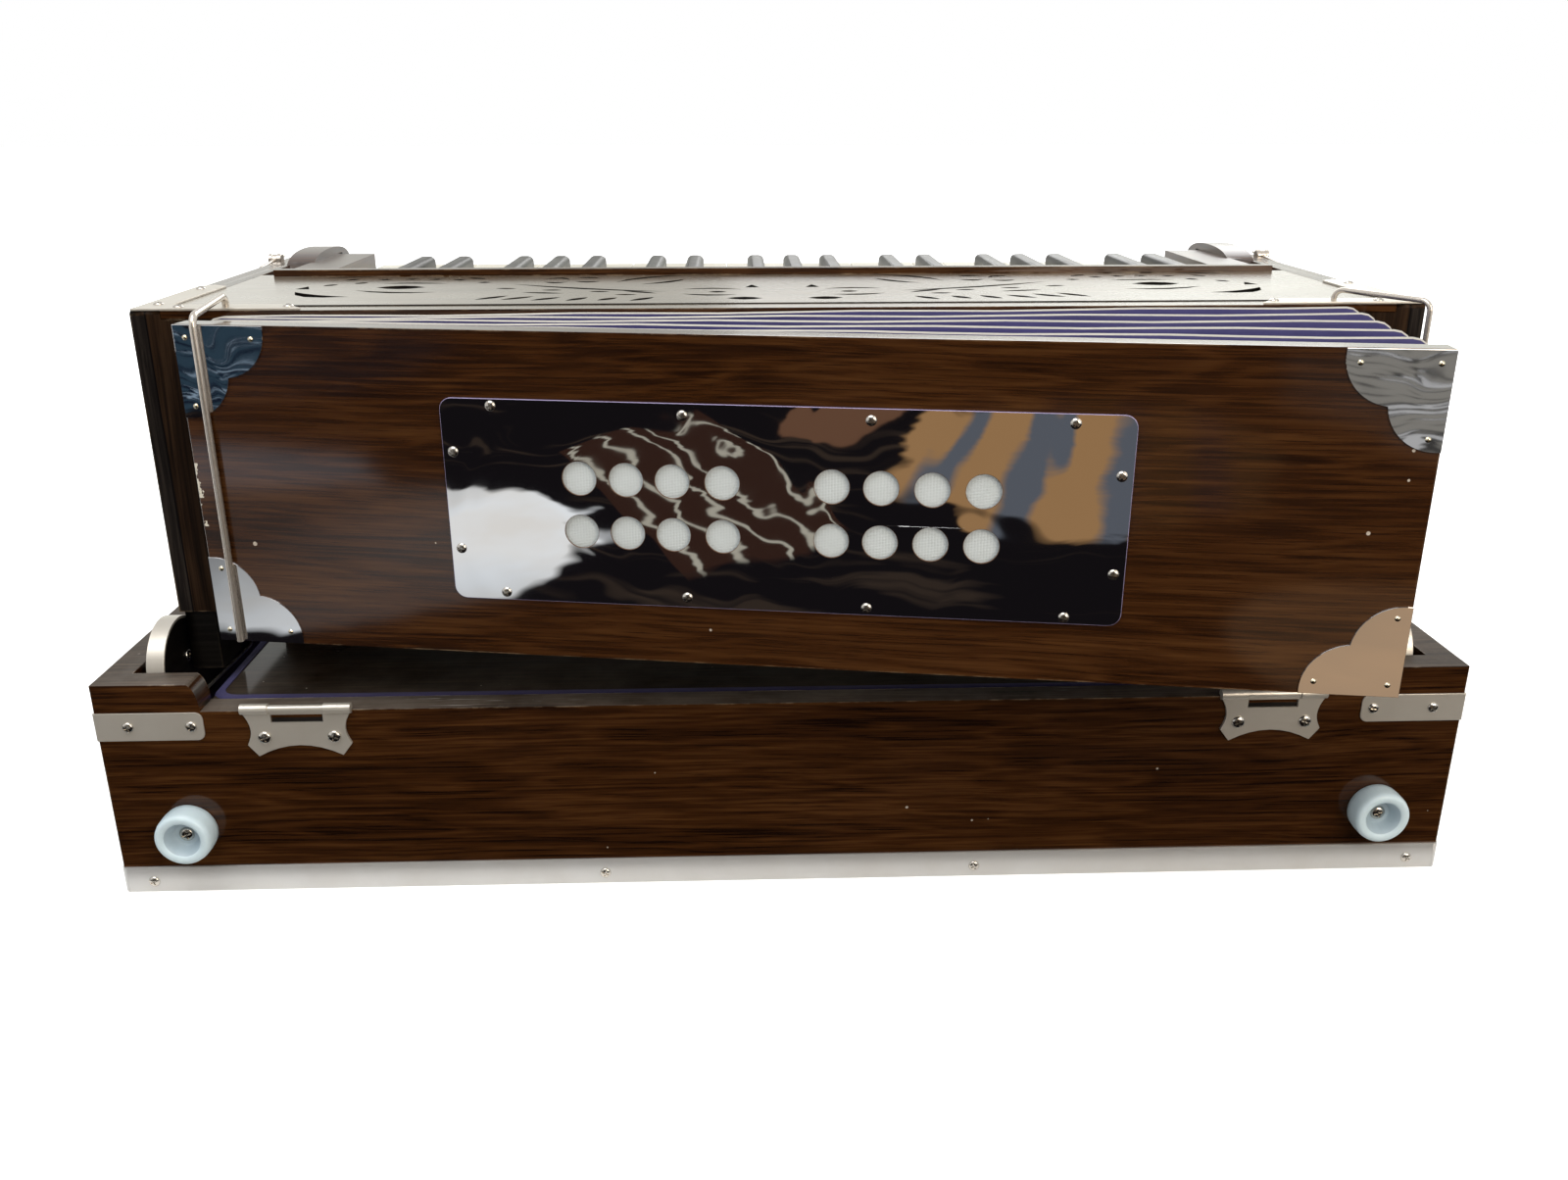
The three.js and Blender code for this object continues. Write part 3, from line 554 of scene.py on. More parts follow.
class Flow:
    """A value in a node tree, which takes plain arithmetic."""

    def __init__(self, sheet: "Sheet", socket: bpy.types.NodeSocket) -> None:
        """Keep the socket and the sheet that it is on."""
        self.sheet, self.socket = sheet, socket

    def __add__(self, other: object) -> "Flow":
        """The sum."""
        return self.sheet.math("ADD", self, other)

    def __sub__(self, other: object) -> "Flow":
        """The difference."""
        return self.sheet.math("SUBTRACT", self, other)

    def __mul__(self, other: object) -> "Flow":
        """The product."""
        return self.sheet.math("MULTIPLY", self, other)

    def __truediv__(self, other: object) -> "Flow":
        """The quotient."""
        return self.sheet.math("DIVIDE", self, other)

    def __lt__(self, other: object) -> "Flow":
        """1 where it is less, else 0."""
        return self.sheet.math("LESS_THAN", self, other)

    def __abs__(self) -> "Flow":
        """The value without its sign."""
        return self.sheet.math("ABSOLUTE", self)


class Sheet:
    """A node tree that is being wired."""

    def __init__(self, tree: bpy.types.NodeTree) -> None:
        """Keep the tree."""
        self.tree = tree

    def add(self, kind: str, inputs: Optional[dict] = None, **settings: object) -> bpy.types.Node:
        """Add a node.

        Args:
            kind: the node's type name, without its ShaderNode prefix.
            inputs: values or flows for its inputs, by name or number.
            **settings: values for the node's own fields.

        Returns:
            The node.
        """
        node = self.tree.nodes.new(kind if kind.startswith("NodeGroup") else f"ShaderNode{kind}")
        for key, value in settings.items():
            setattr(node, key, value)
        self.feed(node, inputs or {})
        return node

    def feed(self, node: bpy.types.Node, inputs: dict) -> None:
        """Give a node's inputs flows to read or plain values.

        Args:
            node: the node.
            inputs: the values, by the inputs' names or numbers; colours have three parts.
        """
        for key, value in inputs.items():
            socket = node.inputs[key]
            if isinstance(value, Flow):
                self.tree.links.new(value.socket, socket)
            else:
                socket.default_value = (*value, 1.0) if socket.type == "RGBA" else value

    def first(self, kind: str) -> bpy.types.Node:
        """The first node of a type."""
        return next(node for node in self.tree.nodes if node.type == kind)

    def read(self, kind: str, inputs: Optional[dict] = None, output: object = 0, **settings: object) -> Flow:
        """Add a node and read one of its outputs."""
        return Flow(self, self.add(kind, inputs, **settings).outputs[output])

    def coords(self, kind: str = "Object") -> Flow:
        """The place or the normal on the surface."""
        return self.read("TexCoord", None, kind)

    def axes(self, vector: Flow) -> list[Flow]:
        """The three parts of a vector."""
        return [Flow(self, socket) for socket in self.add("SeparateXYZ", {0: vector}).outputs]

    def math(self, operation: str, a: object, b: object = 0.0, clamp: bool = False) -> Flow:
        """The result of a maths node."""
        return self.read("Math", {0: a, 1: b}, operation=operation, use_clamp=clamp)

    def noise(
        self, vector: Flow, scale: object, detail: float = 2.0, roughness: float = 0.5, distortion: float = 0.0
    ) -> Flow:
        """The value of a noise texture."""
        values = {"Vector": vector, "Scale": scale, "Detail": detail, "Roughness": roughness}
        return self.read("TexNoise", values | {"Distortion": distortion})

    def fibre(self, vector: Flow, along: float, across: float, detail: float, roughness: float) -> Flow:
        """A noise stretched along a board."""
        return self.noise(self.scaled(vector, (along, across, across)), 1.0, detail, roughness)

    def span(self, value: Flow, low: float, high: float, out: Point = (0.0, 1.0)) -> Flow:
        """A value carried from one span to another, clamped."""
        values = {"Value": value, "From Min": low, "From Max": high, "To Min": out[0], "To Max": out[1]}
        return self.read("MapRange", values)

    def mix(self, factor: Flow, a: object, b: object) -> Flow:
        """A colour mixed from two."""
        return self.read("Mix", {0: factor, 6: a, 7: b}, 2, data_type="RGBA")

    def fade(self, value: Flow, low: float, high: float, a: object, b: object) -> Flow:
        """A colour that goes over into another while a value crosses a span."""
        return self.mix(self.span(value, low, high), a, b)

    def scaled(self, vector: Flow, scale: Point) -> Flow:
        """A vector stretched by three factors."""
        return self.read("Mapping", {"Vector": vector, "Scale": scale})

    def bump(self, height: Flow, distance: float, strength: float, normal: Optional[Flow] = None) -> Flow:
        """A normal raised by a height in millimetres of distance."""
        base = {} if normal is None else {"Normal": normal}
        return self.read("Bump", {"Height": height, "Distance": distance * MM, "Strength": strength} | base)


Flows = dict[str, Flow]


@dataclass(frozen=True)
class Effect:
    """A shared surface effect, built once as a node group.

    Attributes:
        name: the group's name.
        inputs: socket name, kind and default of each input.
        outputs: socket name and kind of each output.
        wire: what wires the group's inside, from its inputs to its outputs.
    """

    name: str
    inputs: Sequence[tuple[str, str, object]]
    outputs: Sequence[tuple[str, str]]
    wire: Callable[[Sheet, Flows], Flows]

    def group(self) -> bpy.types.NodeTree:
        """The node group, made on first use."""
        found = bpy.data.node_groups.get(self.name)
        if found:
            return found
        tree = bpy.data.node_groups.new(self.name, "ShaderNodeTree")
        for name, kind, default in self.inputs:
            socket = tree.interface.new_socket(name, in_out="INPUT", socket_type=f"NodeSocket{kind}")
            socket.default_value = (*default, 1.0) if kind == "Color" else default
        for name, kind in self.outputs:
            tree.interface.new_socket(name, in_out="OUTPUT", socket_type=f"NodeSocket{kind}")
        sheet = Sheet(tree)
        given = sheet.add("NodeGroupInput").outputs
        flows = {name: Flow(sheet, given[name]) for name, _, _ in self.inputs}
        sheet.add("NodeGroupOutput", self.wire(sheet, flows))
        return tree

    def use(self, sheet: Sheet, **values: object) -> Flows:
        """Place the effect in a material.

        Args:
            sheet: the material's node tree.
            **values: its inputs, with spaces in their names as underscores.

        Returns:
            What the group puts out, by name.
        """
        inputs = {key.replace("_", " "): value for key, value in values.items()}
        node = sheet.add("Group", inputs, node_tree=self.group())
        return {socket.name: Flow(sheet, socket) for socket in node.outputs}


def wire_grain(sheet: Sheet, given: Flows) -> Flows:
    """Wood grain along a board's length, with its figure, streaks and pores.

    Args:
        sheet: the group's sheet.
        given: the group's inputs, by name.

    Returns:
        Its outputs, by name.
    """
    turned = sheet.read("VectorRotate", {0: sheet.coords(), "Angle": given["Turn"]}, rotation_type="Z_AXIS")
    x, y, z = sheet.axes(turned)
    side = sheet.math("GREATER_THAN", abs(sheet.axes(sheet.coords("Normal"))[0]), 0.7)
    for share, order in ((side, (y, x, z)), (given["Upright"], (z, y, x))):
        swapped = sheet.read("CombineXYZ", dict(enumerate(order)))
        turned = sheet.read("Mix", {0: share, 4: turned, 5: swapped}, 1, data_type="VECTOR")
    sized = sheet.read("VectorMath", {0: turned, "Scale": given["Grain Scale"]}, operation="SCALE")
    board = sheet.read("VectorMath", {0: sized, 1: given["Offset"]})
    warp = sheet.span(sheet.fibre(board, 3.0, 14.0, 3.0, 0.5), 0.2, 0.8, (0.0, 0.009))
    bent = sheet.read("VectorMath", {0: board, 1: sheet.read("CombineXYZ", {1: warp, 2: warp})})
    figure = sheet.fibre(bent, 3.2, 34.0, 3.0, 0.55)
    streak = sheet.fibre(bent, 11.0, 760.0, 4.0, 0.6)
    mottle = sheet.fibre(board, 6.0, 70.0, 3.0, 0.6)
    pores = sheet.span(sheet.fibre(board, 46.0, 1500.0, 2.0, 0.6), 0.58, 0.70) * 0.6
    tone = sheet.span(figure, 0.3, 0.7) * 0.24 + sheet.span(sheet.math("SINE", figure * 70.0), -0.6, 1.0) * 0.16
    tone = tone + sheet.span(streak, 0.32, 0.68) * 0.44 + sheet.span(mottle, 0.3, 0.7) * 0.16
    colour = sheet.fade(tone, 0.2, 0.5, given["Dark"], given["Middle"])
    colour = sheet.fade(tone, 0.5, 0.82, colour, given["Light"])
    return {"Colour": sheet.mix(pores, colour, given["Dark"]), "Height": streak - pores}


def wire_dust(sheet: Sheet, given: Flows) -> Flows:
    """Dust that lies on upward faces, and a few pale specks anywhere.

    Args:
        sheet: the group's sheet.
        given: the group's inputs, by name.

    Returns:
        Its outputs, by name.
    """
    up = sheet.axes(sheet.coords("Normal"))[2]
    drift = sheet.noise(sheet.coords(), 14.0, 6.0, 0.65)
    film = sheet.span(up, 0.5, 0.95) * sheet.span(drift, 0.35, 0.75) * given["Film"]
    cells = sheet.add("TexVoronoi", {"Vector": sheet.coords(), "Scale": given["Speck Scale"]}).outputs
    bright = sheet.read("SeparateColor", {0: Flow(sheet, cells["Color"])})
    speck = Flow(sheet, cells["Distance"]) < sheet.span(bright, 0.9, 1.0) * 0.09
    return {"Mask": sheet.math("MAXIMUM", film, speck * given["Specks"])}


def wire_wear(sheet: Sheet, given: Flows) -> Flows:
    """A mask along the outer edges, broken up so that wear comes in patches.

    Args:
        sheet: the group's sheet.
        given: the group's inputs, by name.

    Returns:
        Its outputs, by name.
    """
    rounded = sheet.read("Bevel", {"Radius": given["Width"]}, samples=4)
    plain = sheet.read("NewGeometry", None, "Normal")
    along = sheet.read("VectorMath", {0: rounded, 1: plain}, "Value", operation="DOT_PRODUCT")
    patch = sheet.span(sheet.noise(sheet.coords(), 38.0, 5.0, 0.7), 0.48, 0.62)
    return {"Mask": sheet.math("MULTIPLY", sheet.span(along, 0.995, 0.9) * patch, given["Amount"], True)}


def wire_smudge(sheet: Sheet, given: Flows) -> Flows:
    """Soft clouds and fine scratches that change how glossy a surface is.

    Args:
        sheet: the group's sheet.
        given: the group's inputs, by name.

    Returns:
        Its outputs, by name.
    """
    cloud = sheet.noise(sheet.coords(), given["Scale"], 4.0, 0.6, 0.3)
    scratch = sheet.fibre(sheet.coords(), 40.0, 900.0, 2.0, 0.5)
    return {"Cloud": sheet.span(cloud, 0.35, 0.7), "Scratch": sheet.span(scratch, 0.4, 0.7)}


def wire_weave(sheet: Sheet, given: Flows) -> Flows:
    """A plain weave of threads crossing at right angles.

    Args:
        sheet: the group's sheet.
        given: the group's inputs, by name.

    Returns:
        Its outputs, by name.
    """
    x, y, z = sheet.axes(sheet.coords())
    pitch = sheet.math("DIVIDE", math.pi, given["Thread"])
    warp, weft = (abs(sheet.math("SINE", flow * pitch)) for flow in (x, y + z))
    fuzz = sheet.noise(sheet.coords(), 900.0, 3.0, 0.7)
    fade = sheet.span(sheet.noise(sheet.coords(), 24.0, 4.0, 0.6), 0.3, 0.75)
    return {"Height": (warp + weft) * 0.5 + fuzz, "Fade": fade}


GRAIN = Effect(
    "wood_grain",
    [
        ("Dark", "Color", (0.01, 0.004, 0.002)),
        ("Middle", "Color", (0.04, 0.014, 0.005)),
        ("Light", "Color", (0.09, 0.035, 0.012)),
        ("Grain Scale", "Float", 1.0),
        ("Offset", "Vector", (0.0, 0.0, 0.0)),
        ("Upright", "Float", 0.0),
        ("Turn", "Float", 0.0),
    ],
    [("Colour", "Color"), ("Height", "Float")],
    wire_grain,
)
DUST = Effect(
    "settled_dust",
    [("Film", "Float", 0.0), ("Specks", "Float", 0.5), ("Speck Scale", "Float", 110.0)],
    [("Mask", "Float")],
    wire_dust,
)
WEAR = Effect("worn_edge", [("Width", "Float", 0.0012), ("Amount", "Float", 0.5)], [("Mask", "Float")], wire_wear)
SMUDGE = Effect("smudges", [("Scale", "Float", 20.0)], [("Cloud", "Float"), ("Scratch", "Float")], wire_smudge)
WEAVE = Effect("weave", [("Thread", "Float", 0.0005)], [("Height", "Float"), ("Fade", "Float")], wire_weave)


# Finishes

SCRATCH_TONE, SEAM_TONE, CHIP_TONE = (0.6, 0.58, 0.55), (0.0015, 0.001, 0.001), (0.62, 0.58, 0.48)
SEAM_HALF = 0.35 * MM
CHIP_REACH = (-0.2934, -0.2885)
CHIPS = ((0.2305, 0.0088), (0.2185, 0.0012), (0.2085, 0.0014))
LINT_TONE = (0.5, 0.46, 0.42)


def fresh_material(name: str) -> tuple[bpy.types.Material, Sheet]:
    """A new material and the sheet to wire it on."""
    material = bpy.data.materials.new(name)
    material.use_nodes = True
    return material, Sheet(material.node_tree)


class Surface:
    """What every finish has in common."""

    def wire(self, sheet: Sheet) -> dict[str, object]:
        """Wire the finish.

        Args:
            sheet: the material's sheet.

        Returns:
            The shader's inputs, by name.
        """
        raise NotImplementedError

    def build(self, name: str) -> bpy.types.Material:
        """The wired material."""
        material, sheet = fresh_material(name)
        sheet.feed(sheet.first("BSDF_PRINCIPLED"), self.wire(sheet))
        return material


@dataclass(frozen=True)
class Lacquer(Surface):
    """Wood under clear lacquer."""

    dark: Colour
    middle: Colour
    light: Colour
    grain: float = 1.0
    offset: Point = (0.0, 0.0, 0.0)
    upright: float = 0.0
    turn: float = 0.0
    seam: float = 0.0
    chip: bool = False
    roughness: float = 0.35
    coat: float = 1.0
    coat_roughness: float = 0.08
    film: float = 0.05
    specks: float = 0.8
    speck_scale: float = 110.0
    coat_ior: float = 1.5
    specular: float = 0.04
    bump: float = 0.04
    scratches: float = 0.0
    wear: float = 0.6
    wear_colour: Colour = (0.42, 0.3, 0.18)
    dust_colour: Colour = (0.42, 0.37, 0.31)

    def wire(self, sheet: Sheet) -> dict[str, object]:
        """Wire the finish.

        Args:
            sheet: the material's sheet.

        Returns:
            The shader's inputs, by name.
        """
        tones = {"Dark": self.dark, "Middle": self.middle, "Light": self.light, "Grain_Scale": self.grain}
        lie = {"Offset": self.offset, "Upright": self.upright, "Turn": math.radians(self.turn)}
        grain = GRAIN.use(sheet, **tones, **lie)
        dust = DUST.use(sheet, Film=self.film, Specks=self.specks, Speck_Scale=self.speck_scale)["Mask"]
        wear = WEAR.use(sheet, Amount=self.wear)["Mask"]
        smudge = SMUDGE.use(sheet, Scale=11.0)
        colour = sheet.mix(dust, sheet.mix(wear, grain["Colour"], self.wear_colour), self.dust_colour)
        if self.scratches:
            stroke = sheet.span(smudge["Scratch"], 0.8, 0.95) * self.scratches
            colour = sheet.mix(stroke * sheet.span(smudge["Cloud"], 0.5, 0.8), colour, SCRATCH_TONE)
        if self.seam:
            colour = sheet.mix(self.seam_mask(sheet), colour, SEAM_TONE)
        if self.chip:
            colour = sheet.mix(self.chip_mask(sheet), colour, CHIP_TONE)
        rough = sheet.span(smudge["Cloud"], 0.0, 1.0, (self.roughness - 0.06, self.roughness + 0.08))
        return {
            "Base Color": colour,
            "Roughness": sheet.math("MAXIMUM", rough, dust),
            "Coat Weight": sheet.math("SUBTRACT", self.coat, dust, True),
            "Coat Roughness": self.coat_roughness,
            "Coat IOR": self.coat_ior,
            "Specular IOR Level": self.specular,
            "Normal": sheet.bump(grain["Height"], self.bump, 0.5),
        }

    def seam_mask(self, sheet: Sheet) -> Flow:
        """A thin line where the side boards meet the back board."""
        return abs(abs(sheet.axes(sheet.coords())[0]) - self.seam) < SEAM_HALF

    @staticmethod
    def chip_mask(sheet: Sheet) -> Flow:
        """A strip of lost lacquer along the board's latch end, with two flecks under it."""
        x, _, z = sheet.axes(sheet.coords())
        ragged = sheet.noise(sheet.scaled(sheet.coords(), (1.0, 1.0, 0.5)), 420.0, 3.0, 0.7)
        strip, upper, lower = (abs(z - height) < tall for height, tall in CHIPS)
        heights = sheet.math("MAXIMUM", sheet.math("MAXIMUM", strip, upper), lower)
        return (x < sheet.span(ragged, 0.3, 0.7, CHIP_REACH)) * heights


@dataclass(frozen=True)
class Metal(Surface):
    """Steel or brass, brushed or polished."""

    colour: Colour
    roughness: float
    metallic: float = 1.0
    brushed: float = 0.4
    ripple: float = 0.0
    ripple_scale: float = 30.0
    tarnish: Colour = (0.3, 0.24, 0.16)
    tarnish_amount: float = 0.15

    def wire(self, sheet: Sheet) -> dict[str, object]:
        """Wire the finish.

        Args:
            sheet: the material's sheet.

        Returns:
            The shader's inputs, by name.
        """
        smudge = SMUDGE.use(sheet, Scale=26.0)
        roughest = self.roughness + 0.12 * self.brushed
        normal = sheet.bump(smudge["Scratch"], 0.02, self.brushed)
        if self.ripple:
            coords = sheet.scaled(sheet.coords(), (1.0, 1.0, 0.8))
            normal = sheet.bump(sheet.noise(coords, self.ripple_scale, 1.0, 0.4, 0.5), self.ripple, 1.0, normal)
        return {
            "Base Color": sheet.mix(smudge["Cloud"] * self.tarnish_amount, self.colour, self.tarnish),
            "Metallic": self.metallic,
            "Roughness": sheet.span(smudge["Scratch"], 0.0, 1.0, (self.roughness, roughest)),
            "Normal": normal,
        }


@dataclass(frozen=True)
class Moulded(Surface):
    """Smooth solid colour with a little life in it: nylon and key facings."""

    colour: Colour
    shade: Colour
    roughness: float = 0.3
    coat: float = 0.0
    subsurface: float = 0.0
    scale: float = 30.0
    specular: float = 0.5

    def wire(self, sheet: Sheet) -> dict[str, object]:
        """Wire the finish.

        Args:
            sheet: the material's sheet.

        Returns:
            The shader's inputs, by name.
        """
        cloud = sheet.noise(sheet.coords(), self.scale, 5.0, 0.6)
        streak = sheet.noise(sheet.scaled(sheet.coords(), (1.0, 0.12, 1.0)), self.scale * 12, 3.0, 0.6)
        amount = sheet.span(cloud, 0.35, 0.75) * sheet.span(streak, 0.2, 0.8)
        return {
            "Base Color": sheet.mix(amount, self.colour, self.shade),
            "Roughness": sheet.span(cloud, 0.3, 0.7, (self.roughness - 0.05, self.roughness + 0.08)),
            "Specular IOR Level": self.specular,
            "Coat Weight": self.coat,
            "Subsurface Weight": self.subsurface,
            "Subsurface Radius": (0.6, 0.6, 0.7),
            "Subsurface Scale": 2 * MM,
            "Normal": sheet.bump(streak, 0.03, 0.4),
        }


@dataclass(frozen=True)
class Cloth(Surface):
    """Woven cloth or felt."""

    colour: Colour
    faded: Colour
    thread: float = 0.5
    height: float = 0.15
    sheen: float = 0.3
    specks: float = 0.0

    def wire(self, sheet: Sheet) -> dict[str, object]:
        """Wire the finish.

        Args:
            sheet: the material's sheet.

        Returns:
            The shader's inputs, by name.
        """
        weave = WEAVE.use(sheet, Thread=self.thread * MM)
        colour = sheet.mix(weave["Fade"], self.colour, self.faded)
        colour = sheet.mix(weave["Height"] * 0.3, colour, self.faded)
        if self.specks:
            dust = DUST.use(sheet, Film=self.specks, Specks=self.specks, Speck_Scale=160.0)
            colour = sheet.mix(dust["Mask"], colour, LINT_TONE)
        normal = sheet.bump(weave["Height"], self.height, 0.8)
        return {"Base Color": colour, "Roughness": 0.9, "Sheen Weight": self.sheen, "Normal": normal}


FINISHES: dict[Finish, Surface] = {
    Finish.ROSEWOOD: Lacquer((0.008, 0.0027, 0.0009), (0.033, 0.0108, 0.0022), (0.068, 0.0262, 0.0066), coat=0.7),
    # Cheek wood: lighter than the rosewood, which paints in the light falling on the cheeks.
    Finish.CHEEK_WOOD: Lacquer(
        (0.015, 0.0065, 0.003), (0.042, 0.018, 0.0065), (0.075, 0.034, 0.013),
        roughness=0.5, coat_roughness=0.28, coat_ior=1.7, bump=0.0, wear=0.2, specks=0.2, film=0.0,
    ),
    Finish.PANEL_WOOD: Lacquer(
        (0.012, 0.0038, 0.0012), (0.037, 0.012, 0.0025), (0.068, 0.0262, 0.0068),
        offset=(3.1, 1.7, 5.2), turn=9.16, coat_ior=1.58, specks=1.0, speck_scale=75.0, chip=True,
    ),
    Finish.STILE_WOOD: Lacquer(
        (0.003, 0.0015, 0.0008), (0.015, 0.007, 0.003), (0.036, 0.018, 0.008), grain=0.7, offset=(1.3, 4.1, 2.2),
        upright=1.0, roughness=0.6, coat=0.06, coat_roughness=0.3, speck_scale=150.0, seam=0.322,
    ),
    Finish.EDGE_BLACK: Lacquer(
        (0.003, 0.0022, 0.002), (0.01, 0.0075, 0.0062), (0.026, 0.02, 0.016), offset=(2.3, 1.1, 6.2),
        upright=1.0, roughness=0.6, coat=0.06, coat_roughness=0.25, seam=0.322,
    ),
    # The top board: brown lacquer lightened to a pale tan and given a heavier dust film, which paints in the cream
    # glare of its lacquer seen at a grazing angle, besides some real dust.
    Finish.TOP_WOOD: Lacquer(
        (0.08, 0.06, 0.04), (0.14, 0.11, 0.075), (0.19, 0.15, 0.105), offset=(7.0, 2.0, 1.0),
        roughness=0.3, coat_roughness=0.16, coat_ior=1.75, film=0.2, bump=0.0, wear=0.3,
    ),
    Finish.WORN_RIM: Lacquer(
        (0.018, 0.011, 0.007), (0.055, 0.036, 0.023), (0.12, 0.09, 0.066), roughness=0.5, coat=0.15,
        coat_roughness=0.25, specular=0.1, film=0.55, wear=1.0, wear_colour=(0.5, 0.44, 0.37),
        dust_colour=(0.27, 0.24, 0.21), scratches=0.7,
    ),
    # Brown lacquered board with dust specks, its colours darkened further: painted shade under the raised body.
    Finish.DUSTY_BOARD: Lacquer(
        (0.006, 0.0032, 0.0018), (0.02, 0.0115, 0.0062), (0.045, 0.028, 0.017), roughness=0.5, coat=0.6,
        coat_roughness=0.1, specular=0.02, film=0.16, specks=1.0, speck_scale=190.0,
    ),
    Finish.BARE_WOOD: Lacquer(
        (0.36, 0.2, 0.09), (0.52, 0.33, 0.16), (0.64, 0.45, 0.25), roughness=0.7, coat=0.0, film=0.1, wear=0.0
    ),
    # Near black: the black of the lever cores and of the joint line on the top, and painted shade in the top's
    # openings, under the body's end blocks, in the hinge windows and in the cheek grooves.
    Finish.BLACK_BOARD: Lacquer(
        (0.003, 0.0025, 0.0025), (0.006, 0.005, 0.004), (0.012, 0.01, 0.009),
        roughness=0.5, coat=0.0, specular=0.1, film=0.1, wear=0.1,
    ),
    Finish.WHITE_KEY: Moulded((0.82, 0.78, 0.66), (0.7, 0.62, 0.46), 0.22, coat=0.4, scale=18.0),
    Finish.BLACK_KEY: Moulded((0.012, 0.011, 0.011), (0.03, 0.026, 0.024), 0.3, scale=25.0, specular=0.3),
    Finish.SATIN_STEEL: Metal((0.62, 0.585, 0.52), 0.33, metallic=0.6),
    Finish.SCREW_STEEL: Metal((0.6, 0.57, 0.52), 0.2, brushed=0.1),
    Finish.ROD_STEEL: Metal((0.6, 0.55, 0.49), 0.24, metallic=0.8, brushed=0.2),
    Finish.FOOT_STEEL: Metal((0.61, 0.61, 0.6), 0.33, metallic=0.6),
    Finish.MIRROR_STEEL: Metal(
        (0.9, 0.9, 0.91), 0.02, brushed=0.0, ripple=0.5, ripple_scale=22.0, tarnish_amount=0.02
    ),
    # Dark brown on the walls of the plate's holes: painted shade from the plate's thickness round each hole.
    Finish.HOLE_RIM: Metal((0.15, 0.085, 0.05), 0.4, metallic=0.3, tarnish_amount=0.0),
    Finish.FILM_EDGE: Metal((0.42, 0.37, 0.6), 0.4, metallic=0.3, tarnish_amount=0.0),
    Finish.BRASS: Metal((0.7, 0.64, 0.48), 0.2, brushed=0.1, tarnish=(0.3, 0.22, 0.12)),
    Finish.NYLON: Moulded((0.61, 0.74, 0.79), (0.52, 0.64, 0.7), 0.32, subsurface=0.15, scale=40.0),
    # Darker nylon for the dish: painted shade inside its hollow.
    Finish.NYLON_SHADE: Moulded((0.4, 0.5, 0.56), (0.33, 0.42, 0.48), 0.4, scale=40.0),
    Finish.CLOTH: Cloth((0.013, 0.011, 0.072), (0.036, 0.032, 0.13), sheen=0.06, specks=0.06),
    Finish.RIDGE: Cloth((0.62, 0.6, 0.54), (0.48, 0.46, 0.42), thread=0.4, sheen=0.05),
    Finish.FELT: Cloth((0.6, 0.65, 0.66), (0.5, 0.54, 0.54), thread=1.4, height=0.22, sheen=0.2),
}


class Paint:
    """Hands out finishes, each built once."""

    made: dict[Finish, bpy.types.Material] = {}

    @classmethod
    def coat(cls, piece: Piece, *finishes: Finish) -> Piece:
        """Give a piece its finishes, in slot order.

        Args:
            piece: the piece, or a CAD node whose shape stays.
            *finishes: the finish of each material slot.

        Returns:
            The piece.
        """
        piece.data.materials.clear()
        for finish in finishes:
            if finish not in cls.made:
                cls.made[finish] = FINISHES[finish].build(finish.value)
            piece.data.materials.append(cls.made[finish])
        return piece

    @staticmethod
    def choose(piece: Piece, slot: int, test: Callable[[Face], bool]) -> None:
        """Give a slot to the faces that pass a test on their place or normal."""
        for face in piece.data.polygons:
            if test(face):
                face.material_index = slot


def dress(piece: Piece, coats: Union[Finish, tuple], body: str, slot: str, *nodes: str) -> Piece:
    """Give a piece its finish, put it on a body, and hide the CAD nodes it stands for.

    Args:
        piece: the finished piece.
        coats: its finish, a row of finishes in slot order, or () where it is coated already.
        body: the body it moves with.
        slot: the record's material slot; not used.
        *nodes: CAD nodes that it replaces.

    Returns:
        The piece.
    """
    if coats:
        Paint.coat(piece, *((coats,) if isinstance(coats, Finish) else coats))
    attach(piece, body.value if isinstance(body, Body) else body)
    if nodes:
        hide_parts(*nodes)
    LOG.info("%s rides on %s, %d faces", piece.name, body, len(piece.data.polygons))
    return piece


# Fasteners


